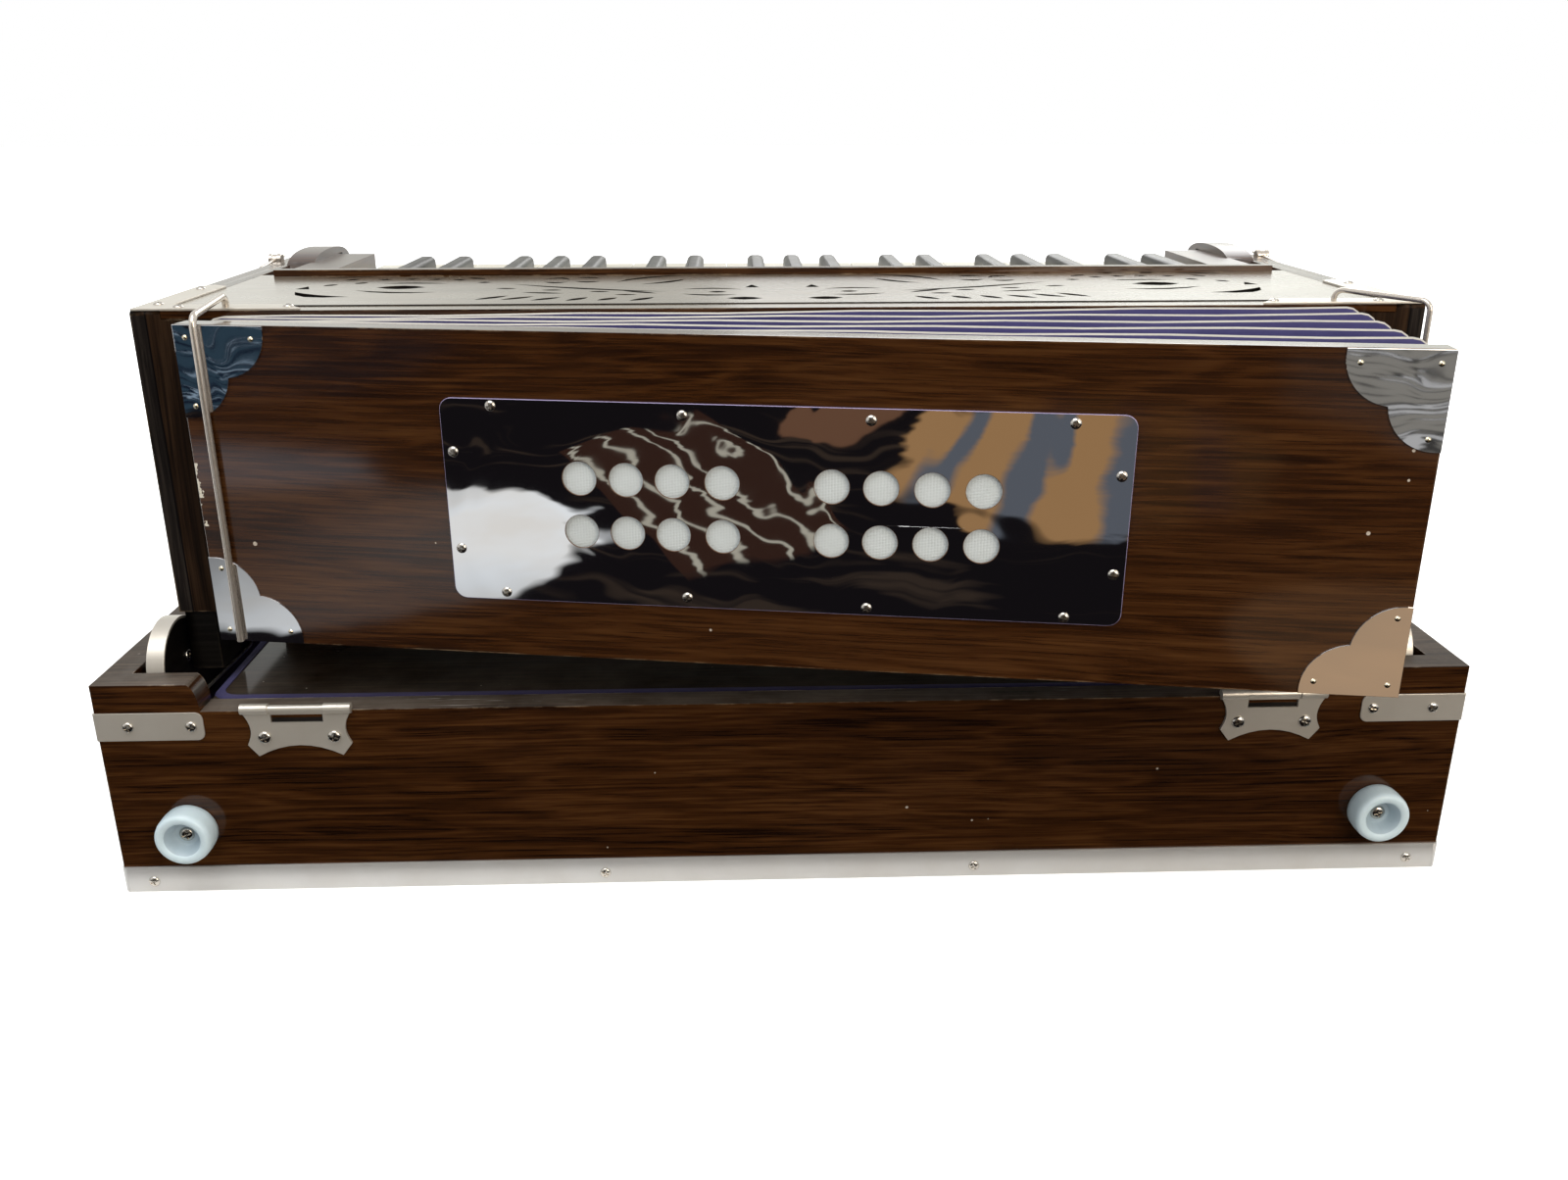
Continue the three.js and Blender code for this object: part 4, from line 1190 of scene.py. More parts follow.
@dataclass
class Fasteners:
    """Screws and pins, each modelled once and copied to every place."""

    dome: float = 3.0
    rise: float = 1.3
    slot_width: float = 0.7
    pin: float = 1.3
    masters: dict[Finish, bpy.types.Mesh] = field(default_factory=dict)

    def screw(self) -> Piece:
        """A round head with a cross slot, on the XY plane."""
        r, h, half = self.dome, self.rise, self.slot_width / 2
        profile = [(r * 0.96, -0.4), (r, 0.0), (r * 0.97, h * 0.3), (r * 0.82, h * 0.68)]
        profile += [(r * 0.5, h * 0.93), (r * 0.12, h)]
        head = Bench.turned("screw_master", profile, 20)
        reach = r * 0.62
        for turn in (20, 110):
            blade = Bench.block("blade", (-reach, -half, h * 0.4), (reach, half, h * 2), 0.0)
            Bench.settle(blade, spin(turn))
            Bench.modify(head, "BOOLEAN", operation="DIFFERENCE", object=blade, solver="EXACT")
            bpy.data.objects.remove(blade)
        return Bench.smooth(head, 40)

    def nail(self) -> Piece:
        """A small domed pin head."""
        r = self.pin
        return Bench.turned("nail_master", [(r * 0.9, -0.2), (r, 0.1), (r * 0.8, 0.5), (r * 0.3, 0.8)], 14)

    def drive(
        self, name: str, spots: Sequence[Matrix], body: Body, scale: float = 1.0, finish: Finish = Finish.SCREW_STEEL
    ) -> Piece:
        """Put a copy of a head at each place and join them.

        Args:
            name: the joined piece's name.
            spots: where each copy goes.
            body: the body it rides on.
            scale: its size against the master.
            finish: what it is made of: steel screws or brass pins.

        Returns:
            The joined heads.
        """
        if finish not in self.masters:
            master = self.nail() if finish is Finish.BRASS else self.screw()
            self.masters[finish] = master.data
            bpy.data.objects.remove(master)
        heads = []
        for index, spot in enumerate(spots):
            head = Bench.lay_out(f"{name}_{index}", self.masters[finish].copy())
            heads.append(Bench.settle(head, spot @ spin(47 * index) @ Matrix.Scale(scale, 4)))
        return dress(Bench.join(name, heads), finish, body, "satin_steel")


FASTENERS = Fasteners()


# The tray


@dataclass
class Tray:
    """The lower case with its straps, buffers, lid hinges and foot strip."""

    half: float = 362.5
    back: float = -185.0
    front: float = 185.0
    rim: float = 90.0
    foot_height: float = 6.5
    foot_thickness: float = 1.2
    foot_screws: Sequence[float] = (-347, -102, 102, 346)
    strap_low: float = 91.0
    strap_high: float = 106.8
    strap_reach: float = 55.5
    strap_return: float = 52.0
    strap_thickness: float = 0.8
    strap_round: float = 4.0
    strap_screws: Sequence[float] = (346, 313.5)
    return_screws: Sequence[float] = (171, 141)
    buffer_x: float = 323.0
    buffer_z: float = 38.0
    dish_radius: float = 9.7
    dish_floor: float = 5.4
    hinge_x: float = 258.2
    hinge_screws: Sequence[float] = (-17.8, 18.4)
    hinge_screw_z: float = 92.4
    hinge_out: float = 1.6
    window_half: float = 13.3
    window_low: float = 94.6
    window_high: float = 103.0

    def build(self) -> None:
        """Make every piece of the tray."""
        self.box()
        self.foot_strip()
        self.straps()
        self.hinges()
        for side, name in SIDES:
            self.buffer(side, name)

    def box(self) -> None:
        """The wooden tray itself."""
        tray = Bench.ease(Bench.copy_of("tray", "tray_wood"), 0.9, 3, 4)
        dress(tray, (Finish.ROSEWOOD, Finish.WORN_RIM), Body.CASE, "lacquered_wood", "tray")
        Paint.choose(tray, 1, lambda face: face.normal.z > 0.6 and face.center.z > self.rim * MM)

    def foot_strip(self) -> None:
        """The metal strip round the foot and its screws."""
        strip = Bench.ease(Bench.copy_of("tray_foot_strip", "foot_strip"), 0.35, 2, 5)
        dress(strip, Finish.FOOT_STEEL, Body.CASE, "satin_steel", "tray_foot_strip")
        out, z = self.foot_thickness, self.foot_height
        spots = [place((x, self.back - out, z), "-Y") for x in self.foot_screws]
        spots += [place((x, self.front + out, z), "+Y") for x in self.foot_screws]
        for side, _ in SIDES:
            spots += [place((side * (self.half + out), y, z), way(side, "X")) for y in (-150, 0, 150)]
        FASTENERS.drive("foot_strip_screws", spots, Body.CASE)

    def straps(self) -> None:
        """Straps that wrap the four corners."""
        straps, spots = [], []
        z, out = (self.strap_low + self.strap_high) / 2, self.strap_thickness
        for side, end in CORNERS:
            straps.append(self.strap(side, end))
            y = end * (self.front + out)
            spots += [place((side * x, y, z), way(end, "Y")) for x in self.strap_screws]
            x = side * (self.half + out)
            spots += [place((x, end * y, z), way(side, "X")) for y in self.return_screws]
        dress(Bench.join("corner_straps", straps), Finish.SATIN_STEEL, Body.CASE, "satin_steel")
        FASTENERS.drive("strap_screws", spots, Body.CASE)

    def strap(self, side: int, end: int) -> Piece:
        """One strap, made flat and folded round its corner.

        Args:
            side: -1 for the left corner, 1 for the right.
            end: -1 for the back corner, 1 for the front.

        Returns:
            The strap, in place.
        """
        tall, thick, r = self.strap_high - self.strap_low, self.strap_thickness, self.strap_round
        arms = []
        for reach in (self.strap_reach, self.strap_return):
            tip = arc((reach - r, r), r, -90, 0, 5) + arc((reach - r, tall - r), r, 0, 90, 5)
            arm = Bench.sheet_metal("arm", [[(-0.2, 0.0), *tip, (-0.2, tall)]], thick, 0.2)
            arms.append(Bench.settle(arm, spin(90, "X")))
        Bench.settle(arms[1], shift(-thick, 0, 0) @ spin(90))
        strap = Bench.settle(Bench.join("strap", arms), shift(-self.half, self.back, self.strap_low))
        return Bench.mirror(strap, side, end)

    def hinges(self) -> None:
        """The lid's hinge leaves with eased edges, and their screws."""
        spots = []
        for side, name in SIDES:
            node, x, back = f"lid_hinge_{name}", side * self.hinge_x, self.back
            leaf = Bench.ease(Bench.copy_of(node, f"{node}_steel", 0.2), 0.3, 2, 0.6, 40)
            dress(leaf, Finish.SATIN_STEEL, Body.CASE, "satin_steel", node)
            spot = (back - self.hinge_out, self.hinge_screw_z)
            spots += [place((x + along, *spot), "-Y") for along in self.hinge_screws]
            # A thin near-black plate set in the back face inside each leaf's window: painted shade standing for the
            # recess there.
            low = (x - self.window_half, back - 0.35, self.window_low)
            high = (x + self.window_half, back + 0.3, self.window_high)
            recess_shade = Bench.block(f"{node}_recess", low, high, 0.1, 1)
            dress(recess_shade, Finish.BLACK_BOARD, Body.CASE, "satin_steel")
        FASTENERS.drive("hinge_screws", spots, Body.CASE, 1.2)

    def buffer(self, side: int, name: str) -> None:
        """A standing buffer, dished and screwed on.

        Args:
            side: -1 for the left buffer, 1 for the right.
            name: which buffer it is.
        """
        rim = [(14.2, 0.0), (14.7, 0.6), (15.0, 4.0), (14.9, 10.1), (14.4, 12.2), (13.5, 13.2), (12.6, 13.5)]
        dish = [(10.6, 13.3), (9.6, 12.6), (8.4, 10.2), (7.3, 7.6), (6.7, 6.0), (6.2, self.dish_floor)]
        x, z = side * self.buffer_x, self.buffer_z
        nylon = Bench.turned(f"back_buffer_{name}_nylon", rim + dish, 48, place((x, self.back, z), "-Y"))
        # The dish gets the darker nylon, painted shade inside the hollow.
        coats = (Finish.NYLON, Finish.NYLON_SHADE)
        dress(nylon, coats, Body.CASE, "white_nylon", f"back_buffer_{name}")
        middle = Vector((x, z)) * MM
        Paint.choose(nylon, 1, lambda face: (face.center.xz - middle).length < self.dish_radius * MM)
        head = place((x, self.back - self.dish_floor, z), "-Y")
        FASTENERS.drive(f"buffer_{name}_screw", [head], Body.CASE, 1.35)


# The reservoir


@dataclass
class Reservoir:
    """The board in the tray, on its folded cloth."""

    half: float = 310.0
    depth: float = 164.5
    top: float = 105.0
    board: float = 8.0
    foot: float = 9.3
    folds: int = 4
    steps: int = 8
    lips: Sequence[Point] = ((3.6, 105.4), (1.2, 105.6), (-0.3, 105.0), (-0.8, 103.4), (-0.8, 98.0))

    def build(self) -> None:
        """Make the board and the cloth."""
        low, high = (-self.half, -self.depth, self.top - self.board), (self.half, self.depth, self.top)
        board = Bench.block("reservoir_board", low, high, 1.0, 3)
        # The board's darkened colour is painted shade from the raised body above it; its specks and film are dust.
        dress(board, Finish.DUSTY_BOARD, Body.CASE, "dusty_board", "reservoir_bellows")
        count = self.steps * self.folds
        rise = (self.top - 1.5 - self.foot) / count
        swells = [0.5 - 0.5 * math.cos(2 * math.pi * step / self.steps) for step in range(count + 1)]
        skirt = [(16.0 - 15.2 * swell**1.6, self.foot + step * rise) for step, swell in enumerate(swells)]
        self.cloth("reservoir_cloth", skirt, 1.0, -1, "reservoir_bellows")
        self.cloth("reservoir_lip", self.lips, 0.5, 0)

    def cloth(self, name: str, profile: Sequence[Point], thickness: float, offset: int, *nodes: str) -> None:
        """Cloth that goes round the board.

        Args:
            name: the piece's name.
            profile: inset and height pairs; a negative inset is outside the board's edge.
            thickness: the cloth's thickness in millimetres.
            offset: the side that it is thickened to, -1 for inwards and 0 for both.
            *nodes: the CAD node that it replaces, if any.
        """
        rings = []
        for inset, height in profile:
            x, y = self.half - inset, self.depth - inset
            rings.append([(*point, height) for point in rounded_rectangle(-x, x, -y, y, 9, 4)])
        cloth = Bench.rings(name, rings, caps=False)
        Bench.modify(cloth, "SOLIDIFY", thickness=thickness * MM, offset=offset)
        dress(Bench.smooth(cloth, 60), Finish.CLOTH, Body.CASE, "indigo_cloth", *nodes)


# The body


@dataclass
class BodyCase:
    """The raised body with its pierced top, cheeks, straps and catches."""

    back: float = -141.0
    half: float = 329.5
    top: float = 307.1
    top_round: float = 2.2
    round_front: float = 70.0
    strip_wear: float = 1.6
    strap_width: float = 15.0
    strap_long: float = 84.5
    strap_forward: float = 96.0
    strap_screws: Sequence[Point] = ((-321, -125), (-323, -63), (-307, -135.5), (-252.5, -134.5))
    cheek_face: float = 299.25
    groove_start: float = 76.0
    joint: float = 322.0
    stile: float = 288.0
    batten_x: float = 305.0
    floor: float = 146.0
    cheek_start: float = 40.0
    cheek_floor: float = 262.0
    catch_y: float = 96.0
    catch_z: float = 307.4

    def build(self) -> None:
        """Make every piece of the body."""
        self.boards()
        for node in ("reed_board", "balance_rail"):
            Paint.coat(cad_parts[node], Finish.BARE_WOOD)
        self.top_joint()
        self.top_straps()
        self.cheek_groove_shades()
        self.catches()

    def boards(self) -> None:
        """The body's boards and its pierced top."""
        case = Bench.ease(self.round_top(Bench.copy_of("body_case", "body_wood")), 0.8, 3, 6)
        coats = (Finish.ROSEWOOD, Finish.STILE_WOOD, Finish.EDGE_BLACK, Finish.BLACK_BOARD, Finish.CHEEK_WOOD)
        dress(case, coats, Body.CASE, "lacquered_wood", "body_case")
        edge, high, floor = (self.back + 2.1) * MM, (self.top - 2.4) * MM, self.floor * MM
        Paint.choose(case, 1, lambda face: self.at_back(face) and abs(face.center.x) < self.joint * MM)
        Paint.choose(case, 1, lambda face: face.center.y < edge and face.center.z > high)
        Paint.choose(case, 2, lambda face: self.at_back(face) and abs(face.center.x) > self.joint * MM)
        # The blocks under the body's ends, outside the battens, are coloured near black: painted shade under the
        # raised body.
        Paint.choose(case, 3, lambda face: face.center.z < floor and abs(face.center.x) > self.batten_x * MM)
        # The cheeks get the lighter cheek lacquer, painted light for how brightly they are lit.
        start, low = self.cheek_start * MM, self.cheek_floor * MM
        Paint.choose(case, 4, lambda face: face.center.y > start and face.center.z > low)
        top = Bench.copy_of("fretwork_top", "fretwork_wood")
        for vertex in top.data.vertices:
            if vertex.co.z > (self.top + 2) * MM:
                vertex.co.z -= self.strip_wear * MM
        Bench.ease(top, 0.5, 2, 60)
        dress(top, (Finish.TOP_WOOD, Finish.BLACK_BOARD, Finish.ROSEWOOD), Body.CASE, "top_board", "fretwork_top")
        # The walls of the top's openings are coloured near black: painted shade inside the openings.
        Paint.choose(top, 1, self.in_slit)
        Paint.choose(top, 2, self.on_strip)

    def round_top(self, case: Piece) -> Piece:
        """Round the top's outer edges and part the back where the side boards meet it.

        Args:
            case: the copy of the body's node.

        Returns:
            The copy, rounded and parted.
        """

        def outer(line: Edge) -> bool:
            """Whether an edge lies on the top's rim, at the back or at a side."""
            ends = [vertex.co / MM for vertex in line.verts]
            behind = all(end.y < self.back + 0.3 for end in ends)
            beside = all(abs(end.x) > self.half - 0.3 for end in ends)
            high = all(end.z > self.top - 0.3 and end.y < self.round_front for end in ends)
            return high and (behind or beside)

        with Bench.picking(case, outer):
            bpy.ops.mesh.bevel(offset=self.top_round * MM, segments=4, affect="EDGES")
            for side, _ in SIDES:
                for share in (self.joint, self.stile):
                    bpy.ops.mesh.select_all(action="SELECT")
                    bpy.ops.mesh.bisect(plane_co=(side * share * MM, 0, 0), plane_no=(1, 0, 0))
        return case

    def at_back(self, face: Face) -> bool:
        """Whether a face belongs to the bare end of the back, beside the bellows."""
        x, y, z = face.center / MM
        return y < self.back + 0.6 and abs(x) > self.stile and self.floor < z < self.top - 2.4

    def in_slit(self, face: Face) -> bool:
        """Whether a face of the top board is the wall of one of its openings."""
        x, y, _ = face.center / MM
        return abs(face.normal.z) < 0.5 and abs(x) < self.batten_x and self.back + 4 < y < 1

    def on_strip(self, face: Face) -> bool:
        """Whether a face of the top board is its raised strip or its back edge."""
        _, y, z = face.center / MM
        return z > self.top + 0.3 or abs(face.normal.y) > 0.7 and (y > 1.5 or y < self.back + 1)

    def top_joint(self) -> None:
        """The dark line of glue where the pierced board meets the frame behind it."""
        low, high = (-312.0, self.back + 14.2, self.top - 0.4), (312.0, self.back + 15.2, self.top + 0.55)
        joint = Bench.block("top_joint", low, high, 0.2, 2)
        dress(joint, Finish.BLACK_BOARD, Body.CASE, "lacquered_wood")

    def top_straps(self) -> None:
        """L-shaped straps on the top's back corners."""
        straps, spots = [], []
        wide, reach, forward = self.strap_width, self.strap_long, self.strap_forward
        outline = [(0, 0), (reach, 0), (reach - 11, wide), (wide, wide), (wide, forward - 5)]
        outline += [(wide / 2, forward), (0, forward - 5)]
        for side, _ in SIDES:
            strap = Bench.sheet_metal("strap", [flipped(outline, -side, 1)], 1.2, 0.3)
            straps.append(Bench.settle(strap, shift(side * (self.half - 0.4), self.back + 0.4, self.top)))
            spots += [place((-side * x, y, self.top + 1.2)) for x, y in self.strap_screws]
        dress(Bench.join("top_straps", straps), Finish.SATIN_STEEL, Body.CASE, "satin_steel")
        FASTENERS.drive("top_strap_screws", spots, Body.CASE, 0.9)

    def cheek_groove_shades(self) -> None:
        """A thin near-black strip on the inner face of each scroll cheek: painted shade standing for the groove cut
        there.
        """
        outline = [(0, 305.0), (53, 307.4), (54, 308.2), (53, 308.9), (0, 306.4), (-0.6, 305.7)]
        grooves = []
        for side, _ in SIDES:
            groove = Bench.sheet_metal("groove", [outline], 0.5, 0.12)
            Bench.settle(groove, place((-self.cheek_face + 0.05, self.groove_start, 0), "+X"))
            grooves.append(Bench.mirror(groove, side, -1))
        dress(Bench.join("cheek_groove_shades", grooves), Finish.BLACK_BOARD, Body.CASE, "lacquered_wood")

    def catches(self) -> None:
        """A small drum with a thin rod beside each cheek."""
        drum = [(3.4, -0.5), (3.9, 0.0), (3.9, 2.2), (3.4, 2.6), (3.4, 5.4), (3.9, 5.8), (3.9, 7.6)]
        drum += [(3.4, 8.0), (1.2, 8.2)]
        bends = ((62, 304.6), (66, 305.4), (self.catch_y, self.catch_z), (112, 308.2))
        parts = []
        for side, _ in SIDES:
            spot = place((side * self.half, self.catch_y, self.catch_z), way(side, "X"))
            parts.append(Bench.turned("drum", drum, 24, spot))
            parts.append(Bench.wire("rod", [(side * (self.half + 4), *bend) for bend in bends], 1.1))
        dress(Bench.join("lid_catches", parts), Finish.ROD_STEEL, Body.CASE, "satin_steel")


# The keyboard


@dataclass
class Keyboard:
    """The 25 white and 17 black keys."""

    key_back: float = 12.0
    nose: float = 5.1
    crown: float = 3.6

    def build(self) -> None:
        """Dress every key: its head faced or polished, its lever bare."""
        for node in sorted(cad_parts):
            if node.startswith("key_"):
                white = "white" in node
                key = Bench.copy_of(node, f"{node}_head")
                if not white:
                    self.round_crown(key)
                Bench.ease(key, 0.7, 3, 3)
                coats = (Finish.WHITE_KEY if white else Finish.BLACK_KEY, Finish.BARE_WOOD)
                dress(key, coats, node, "white_key" if white else "black_key", node)
                Paint.choose(key, 1, lambda face: face.center.y < (self.key_back - 0.2) * MM)

    def round_crown(self, key: Piece) -> None:
        """Round the long upper edges and the front corners of a black key.

        Args:
            key: the copy of the key's node.
        """
        top = max(vertex.co.z for vertex in key.data.vertices)
        front = max(vertex.co.y for vertex in key.data.vertices)

        def crowned(line: Edge) -> bool:
            """Whether a sharp lengthwise or upright edge lies high or in front."""
            ends = [vertex.co for vertex in line.verts]
            high = all(end.z > top - self.nose * MM for end in ends)
            ahead = all(end.y > front - 0.1 * MM for end in ends)
            sharp = line.calc_face_angle(0.0) > math.radians(50)
            return sharp and abs(ends[0].x - ends[1].x) < MM and (high or ahead)

        with Bench.picking(key, crowned):
            bpy.ops.mesh.bevel(offset=self.crown * MM, segments=5, affect="EDGES", clamp_overlap=False)


# The hand bellows


@dataclass
class HandBellows:
    """The swung board with its plates, and the folded cloth behind it."""

    latch: Point = (-280.82, -186.13)
    swing: float = 9.16
    left: float = -12.0
    right: float = 565.0
    face: float = 2.3
    inner: float = 14.6
    foot: float = 146.2
    top: float = 306.8
    wall: float = -141.3
    folds: int = 5
    fold_depth: float = 13.0
    fold_top: float = 307.8
    upper_half: float = 220.0
    spread: float = 11.0
    tip: float = 2.0
    droop: float = 2.8
    plate: Point = (116.35, 436.65, 175.8, 275.3)
    hole: float = 8.2
    columns: Sequence[float] = (0.205, 0.275, 0.344, 0.418, 0.578, 0.649, 0.722, 0.795)
    rows: Sequence[float] = (0.366, 0.628)
    felt: Point = (13.0, 11.5)
    felt_depth: Point = (3.0, 6.5)
    screw_scale: float = 1.0195
    plate_screws: Sequence[Point] = (
        (150.3, 123.3), (239.5, 121.1), (324.7, 121.2), (413.5, 122.3), (151.5, 32.8), (239.8, 33.9),
        (324.3, 32.5), (414.5, 32.1), (129.2, 101.2), (129.7, 54.1), (435.0, 99.3), (435.0, 53.8),
    )
    corner_pins: Sequence[Point] = ((5.8, 6.0), (38.6, 6.2), (6.2, 38.8))

    @property
    def board_frame(self) -> Matrix:
        """Where the swung board's own frame lies."""
        return shift(*self.latch, 0) @ spin(-self.swing)

    def build(self) -> None:
        """Make the board, its fittings and the cloth."""
        board = Bench.ease(Bench.copy_of("bellows_panel", "bellows_board_wood"), 0.8, 3, 6)
        dress(board, Finish.PANEL_WOOD, Body.BELLOWS, "lacquered_wood", "bellows_panel")
        self.valve_plate()
        self.corner_plates()
        for fold in range(self.folds):
            self.fold(fold)

    def valve_plate(self) -> None:
        """The polished plate with its air holes, felt and screws."""
        x0, x1, z0, z1 = self.plate
        across = [x0 + share * (x1 - x0) for share in self.columns]
        levels = [z0 + share * (z1 - z0) for share in self.rows]
        loops = [rounded_rectangle(x0, x1, z0, z1, 6, 8)]
        loops += [ring_hole(x, z, self.hole) for z in levels for x in across]
        plate = Bench.sheet_metal("valve_plate_mirror", loops, 1.0, 0.2)
        Paint.coat(plate, Finish.MIRROR_STEEL, Finish.FILM_EDGE, Finish.HOLE_RIM)
        Paint.choose(plate, 1, lambda face: abs(face.normal.z) < 0.97)
        # The hole walls get the dark brown, painted shade round each hole.
        Paint.choose(plate, 2, self.in_hole)
        Bench.settle(plate, self.board_frame @ place((0, 2.0, 0), "-Y"))
        dress(plate, (), Body.BELLOWS, "mirror_steel", "valve_plate")
        felts, (wide, tall), (near, far) = [], self.felt, self.felt_depth
        for z in levels:
            for start, end in ((0, 3), (4, 7)):
                low, high = (across[start] - wide, near, z - tall), (across[end] + wide, far, z + tall)
                felts.append(Bench.settle(Bench.block("felt", low, high, 1.0, 2), self.board_frame))
        dress(Bench.join("valve_felts", felts), Finish.FELT, Body.BELLOWS, "white_nylon")
        spots = []
        for along, height in self.plate_screws:
            x = min(max(self.left + along * self.screw_scale, x0 + 5), x1 - 5)
            spots.append(place((x, 1.0, self.foot + height * self.screw_scale), "-Y", self.board_frame))
        FASTENERS.drive("valve_plate_screws", spots, Body.BELLOWS, 0.85)

    def in_hole(self, face: Face) -> bool:
        """Whether a face of the flat valve plate is the wall of one of its holes."""
        x0, x1, z0, z1 = self.plate
        x, z, _ = face.center / MM
        return abs(face.normal.z) < 0.97 and x0 + 4 < x < x1 - 4 and z0 + 4 < z < z1 - 4

    def corner_plates(self) -> None:
        """Four mirror plates on the board's corners, two-lobed and each held by three pins."""
        lobes = arc((22.4, 2.5), 22.6, -6.3, 83.4, 16) + arc((2.5, 22.0), 22.6, 8.0, 96.3, 16)
        outline = [(0.0, 0.0), *lobes, (0.0, 44.4)]
        plates, spots = [], []
        for side, end in CORNERS:
            plate = Bench.sheet_metal("corner", [flipped(outline, -side, -end)], 0.7, 0.18)
            x = self.left + 0.2 if side < 0 else self.right - 0.2
            z = self.foot + 0.2 if end < 0 else self.top - 0.2
            plates.append(Bench.settle(plate, self.board_frame @ place((x, self.face, z), "-Y")))
            for a, b in self.corner_pins:
                spots.append(place((x - side * a, self.face - 0.7, z - end * b), "-Y", self.board_frame))
        dress(Bench.join("corner_plates", plates), Finish.MIRROR_STEEL, Body.BELLOWS, "mirror_steel")
        FASTENERS.drive("corner_pins", spots, Body.BELLOWS, finish=Finish.BRASS)

    def spot(self, along: float, share: float, height: float) -> Point:
        """A point between the body's wall and the swung board.

        Args:
            along: the distance along the board from the latch.
            share: 0 at the wall and 1 at the board.
            height: its height.

        Returns:
            The point in the part's frame.
        """
        angle = math.radians(self.swing)
        board = (
            self.latch[0] + along * math.cos(angle) + self.inner * math.sin(angle),
            self.latch[1] - along * math.sin(angle) + self.inner * math.cos(angle),
        )
        stretch = self.spread * max(0.0, along) / (self.right - 2)
        wall = (self.latch[0] + along + stretch, self.wall)
        return (wall[0] + (board[0] - wall[0]) * share, wall[1] + (board[1] - wall[1]) * share, height)

    def width(self, along: float) -> float:
        """How wide the gap is behind a place on the board."""
        return self.wall - self.spot(along, 1.0, 0.0)[1]

    def sag(self, along: float) -> float:
        """How far the cloth's top hangs through at a place on the board."""
        return self.droop * (1 - along / self.right)

    def ring(self, fold: int, side: float, reach: float, inset: float) -> list[Point]:
        """One loop of cloth round the gap.

        Args:
            fold: the fold's number from the wall.
            side: -1 towards the wall, 1 towards the board, 0 on the ridge.
            reach: how far from the ridge it lies, as a share of half a fold; at 0 it is the tip's edge.
            inset: how deep it is drawn in.

        Returns:
            The points of the loop.
        """
        left, right = self.left + 2 + inset, self.right - 2 - inset
        outline = []
        for along, height in self.perimeter(left, right, self.foot + 2 + inset, self.fold_top - inset):
            half = self.width(along) / self.folds / 2
            near = min(self.tip, half * 0.36)
            away = side * (near + (half - near) * reach) if side else 0.0
            share = (fold + 0.5) / self.folds + away / self.width(along)
            loose = side == 0 or reach < 0.9
            wave = 0.35 * math.sin(along * 0.045 + fold * 1.7) * (1 - reach) if loose else 0.0
            rise = wave - self.sag(along) if height > self.upper_half else -wave
            outline.append(self.spot(along, share, height + rise))
        return outline

    @staticmethod
    def perimeter(left: float, right: float, low: float, high: float) -> list[Point]:
        """A rectangle's outline with many points along its long edges and round corners."""
        radius, long, tall = 9.0, 16, 4
        west, east, south, north = left + radius, right - radius, low + radius, high - radius
        lengths = [west + (east - west) * step / long for step in range(long + 1)]
        heights = [south + (north - south) * step / tall for step in range(tall + 1)]
        ends = ((east, south), (east, north), (west, north), (west, south))
        bends = [arc(end, radius, 90 * turn - 90, 90 * turn, 4)[1:-1] for turn, end in enumerate(ends)]
        points = [(x, low) for x in lengths] + bends[0] + [(right, z) for z in heights] + bends[1]
        points += [(x, high) for x in reversed(lengths)] + bends[2]
        return points + [(left, z) for z in reversed(heights)] + bends[3]

    def fold(self, fold: int) -> None:
        """One fold of the cloth, between the body and the board.

        Args:
            fold: its number, counted from the body's wall.
        """
        deep = self.fold_depth
        slant = [(1.0, deep), (0.85, deep - 1.0), (0.4, 5.2), (0.12, 2.2), (0.0, 0.6)]
        rings = [self.ring(fold, -1, *station) for station in slant]
        rings.append(self.ring(fold, 0, 0.0, 0.0))
        rings += [self.ring(fold, 1, *station) for station in reversed(slant)]
        cloth = Bench.rings(f"bellows_fold_{fold + 1}", rings, caps=False)
        Bench.modify(cloth, "SOLIDIFY", thickness=1.1 * MM, offset=-1)
        Paint.coat(cloth, Finish.CLOTH, Finish.RIDGE)
        Paint.choose(cloth, 1, lambda face: self.on_ridge(fold, face))
        Bench.smooth(cloth, 50)
        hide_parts("bellows_cloth")
        start, end = self.hold(fold)
        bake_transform(cloth)
        LOG.info("%s bends between the body and the board", cloth.name)

    def on_ridge(self, fold: int, face: Face) -> bool:
        """Whether a face lies on a fold's pale ridge.

        Args:
            fold: the fold's number.
            face: a face of its cloth.

        Returns:
            True on the ridge.
        """
        x, y, z = face.center / MM
        along = x - self.latch[0]
        middle = self.spot(along, (fold + 0.5) / self.folds, z)
        near = min(self.tip, self.width(along) / self.folds * 0.18)
        high = self.fold_top - self.sag(along)
        edges = (along - self.left, middle[0] + self.right - along - x, z - self.foot, high - z)
        return abs(y - middle[1]) < near * 0.85 and min(edges) < 6.0

    def hold(self, fold: int) -> tuple[Point, Point]:
        """Where a fold's bend starts and ends, so that its far edges follow their share of the swing.

        Args:
            fold: the fold's number.

        Returns:
            The two points in metres.
        """
        shares = (fold / self.folds, (fold + 1) / self.folds)
        first, last = (self.ease_inverse(share) for share in shares)
        angle = math.radians(self.swing * sum(shares) / 2)
        normal = Vector((-math.sin(angle), -math.cos(angle), 0))
        near, far = (Vector(self.spot(self.right - 2, share, self.upper_half)) for share in shares)
        span = (far - near).dot(normal) / (last - first)
        start = near - normal * (first * span)
        return tuple(start * MM), tuple((start + normal * span) * MM)

